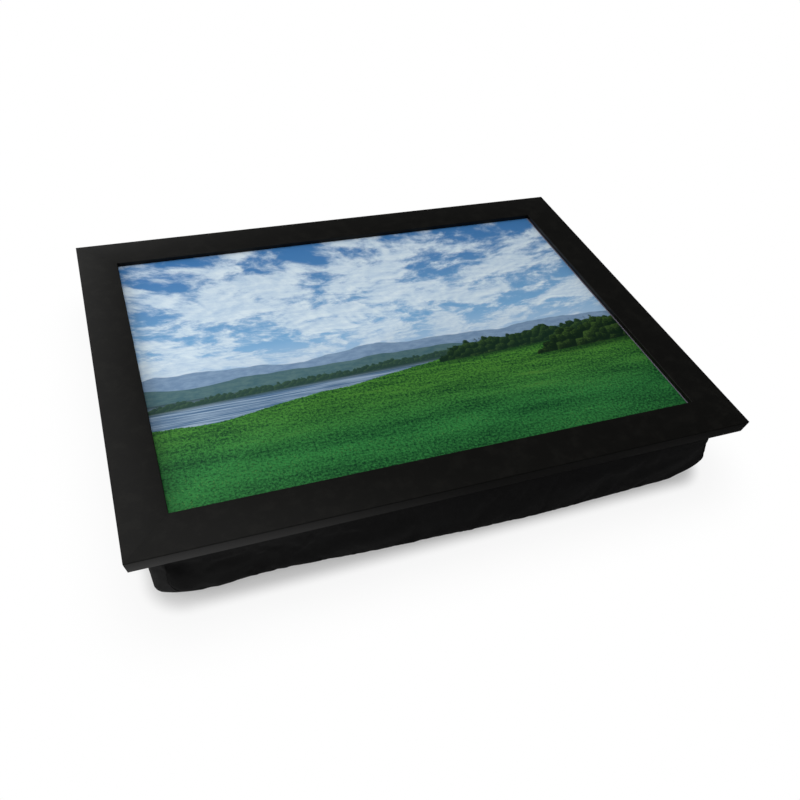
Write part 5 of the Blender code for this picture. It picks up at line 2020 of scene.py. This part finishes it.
@dataclass
class Studio:
    """Pale floor, soft lamps and the camera."""

    eye: Place = (-0.19982, -0.46220, 0.45008)
    azimuth: float = -24.99
    elevation: float = 42.78
    roll: float = 7.00
    focal_pixels: float = 814.0
    frame_pixels: float = 800.0
    sensor: float = 36.0
    nearest: float = 0.01
    ambient: float = 0.46
    dimming: float = 0.92
    dimmed_floor: Range = (-0.30, 0.05)
    dimmed_world: Range = (-0.25, 0.22)
    floor_size: float = 4.0
    floor_level: float = -0.3 * MM
    floor_colour: Colour = (0.84, 0.84, 0.84)
    floor_roughness: float = 0.9
    floor_specular: float = 0.1
    shadow_corner: float = 0.02
    shadow_near: Range = (-0.004, 0.010)
    shadow_far: Range = (0.0, 0.06)
    white_shares: Place = (0.54, 0.12, 0.34)
    lamps: tuple[Lamp, ...] = (
        Lamp("window_left", (-1.50, 0.05, 0.36), 0.9, 0.70, mirrored=False),
        Lamp("soft_top", (-0.30, 0.30, 1.60), 1.4, 0.22),
        Lamp("front_fill", (-0.50, -1.40, 0.75), 1.2, 0.07),
    )

    def camera(self) -> None:
        """A camera at the photograph's place, turned by azimuth, elevation and roll."""
        data = bpy.data.cameras.new("camera")
        data.sensor_width = self.sensor
        data.lens = self.focal_pixels / self.frame_pixels * self.sensor
        data.clip_start = self.nearest
        camera = placed("camera", data)
        camera.matrix_world = Matrix.Translation(self.eye)
        for degrees, axis in ((self.azimuth, "Z"), (90.0 - self.elevation, "X"), (self.roll, "Z")):
            camera.matrix_world @= Matrix.Rotation(math.radians(degrees), 4, axis)
        bpy.context.scene.camera = camera

    @staticmethod
    def backdrop(tree: Tree, dimming: Wire) -> tuple[Wire, Wire]:
        """How white the backdrop is: plain white to the camera and through glass, dimmed in reflections.

        Args:
            tree: node tree of the floor or the world.
            dimming: how much darker reflections see it, from 0 to 1.

        Returns:
            1 for the rays that see it, and its brightness for them.
        """
        rays = tree.nodes.new("ShaderNodeLightPath")
        camera, glossy, through = (Wire(tree, rays.outputs[f"Is {kind} Ray"])
                                   for kind in ("Camera", "Glossy", "Transmission"))
        return (camera + glossy + through).math("MINIMUM", 1.0), 1.0 - glossy * dimming

    @staticmethod
    def mix(tree: Tree, share: Wire, plain: Node, white: Node, output: str) -> None:
        """Send a share of the white shader and the rest of the plain one to an output."""
        mix = tree.nodes.new("ShaderNodeMixShader")
        for socket, source in zip(mix.inputs, (share.socket, plain.outputs[0], white.outputs[0])):
            tree.links.new(source, socket)
        tree.links.new(mix.outputs[0], tree.nodes[output].inputs["Surface"])

    def floor(self) -> None:
        """A white floor that keeps the tray's soft shadow close by and is plain white further off."""
        half = self.floor_size / 2.0
        plan = np.array([(-half, -half), (half, -half), (half, half), (-half, half)])
        corners = np.column_stack([plan, np.full(4, self.floor_level)])
        mesh = Shell(corners, [np.arange(4)[None]]).mesh("floor")
        material = bpy.data.materials.new("white_floor")
        material.use_nodes = True
        bench = Bench(material)
        bench.fill(bench.shader, {"Base Color": self.floor_colour, "Roughness": self.floor_roughness,
                                  "Specular IOR Level": self.floor_specular})
        x, y, _ = bench.place()
        off = []
        for place, low, high in zip((x, y), *box_of("bead_filling")):
            reach = float(high - low) / 2.0
            off.append(((place - (float(low) + reach)).math("ABSOLUTE") - (reach - self.shadow_corner))
                       .math("MAXIMUM", 0.0))
        away = (off[0] * off[0] + off[1] * off[1]).math("SQRT") - self.shadow_corner
        glow = bench.node("ShaderNodeEmission")
        seen, white = self.backdrop(bench.tree, x.ramp(*self.dimmed_floor) * self.dimming)
        bench.feed(glow.inputs["Strength"], white)
        near_share, far_share, least = self.white_shares
        kept = away.ramp(*self.shadow_near) * near_share + away.ramp(*self.shadow_far) * far_share + least
        self.mix(bench.tree, seen * kept, bench.shader, glow, "Material Output")
        mesh.materials.append(material)
        placed("floor", mesh)

    def world(self) -> None:
        """Soft light from all round; what the camera, gloss and glass see is white, dimmer on the right."""
        world = bpy.data.worlds.new("studio")
        world.use_nodes = True
        tree = world.node_tree
        ambient = tree.nodes["Background"]
        ambient.inputs["Strength"].default_value = self.ambient
        white = tree.nodes.new("ShaderNodeBackground")
        for light in (ambient, white):
            light.inputs["Color"].default_value = (1.0, 1.0, 1.0, 1.0)
        split = tree.nodes.new("ShaderNodeSeparateXYZ")
        tree.links.new(tree.nodes.new("ShaderNodeTexCoord").outputs["Generated"], split.inputs[0])
        dimming = Wire(tree, split.outputs[0]).ramp(*self.dimmed_world) * self.dimming
        seen, brightness = self.backdrop(tree, dimming)
        tree.links.new(brightness.socket, white.inputs["Strength"])
        self.mix(tree, seen, ambient, white, "World Output")
        bpy.context.scene.world = world

    def build(self) -> None:
        """Set the whole studio."""
        bpy.context.scene.view_settings.view_transform = "Standard"
        self.camera()
        self.floor()
        self.world()
        for lamp in self.lamps:
            lamp.build()


def main() -> None:
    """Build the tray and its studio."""
    logging.basicConfig(level=logging.INFO, format="%(name)s: %(message)s")
    TrayFrame().build()
    PicturePackage().build()
    cover = CushionCover()
    skin, quads, indices = cover.build()
    BeadFilling().build(skin, quads, indices, cover.top)
    HookAndLoop().build()
    Zip().build()
    Studio().build()


if __name__ == "__main__":
    main()
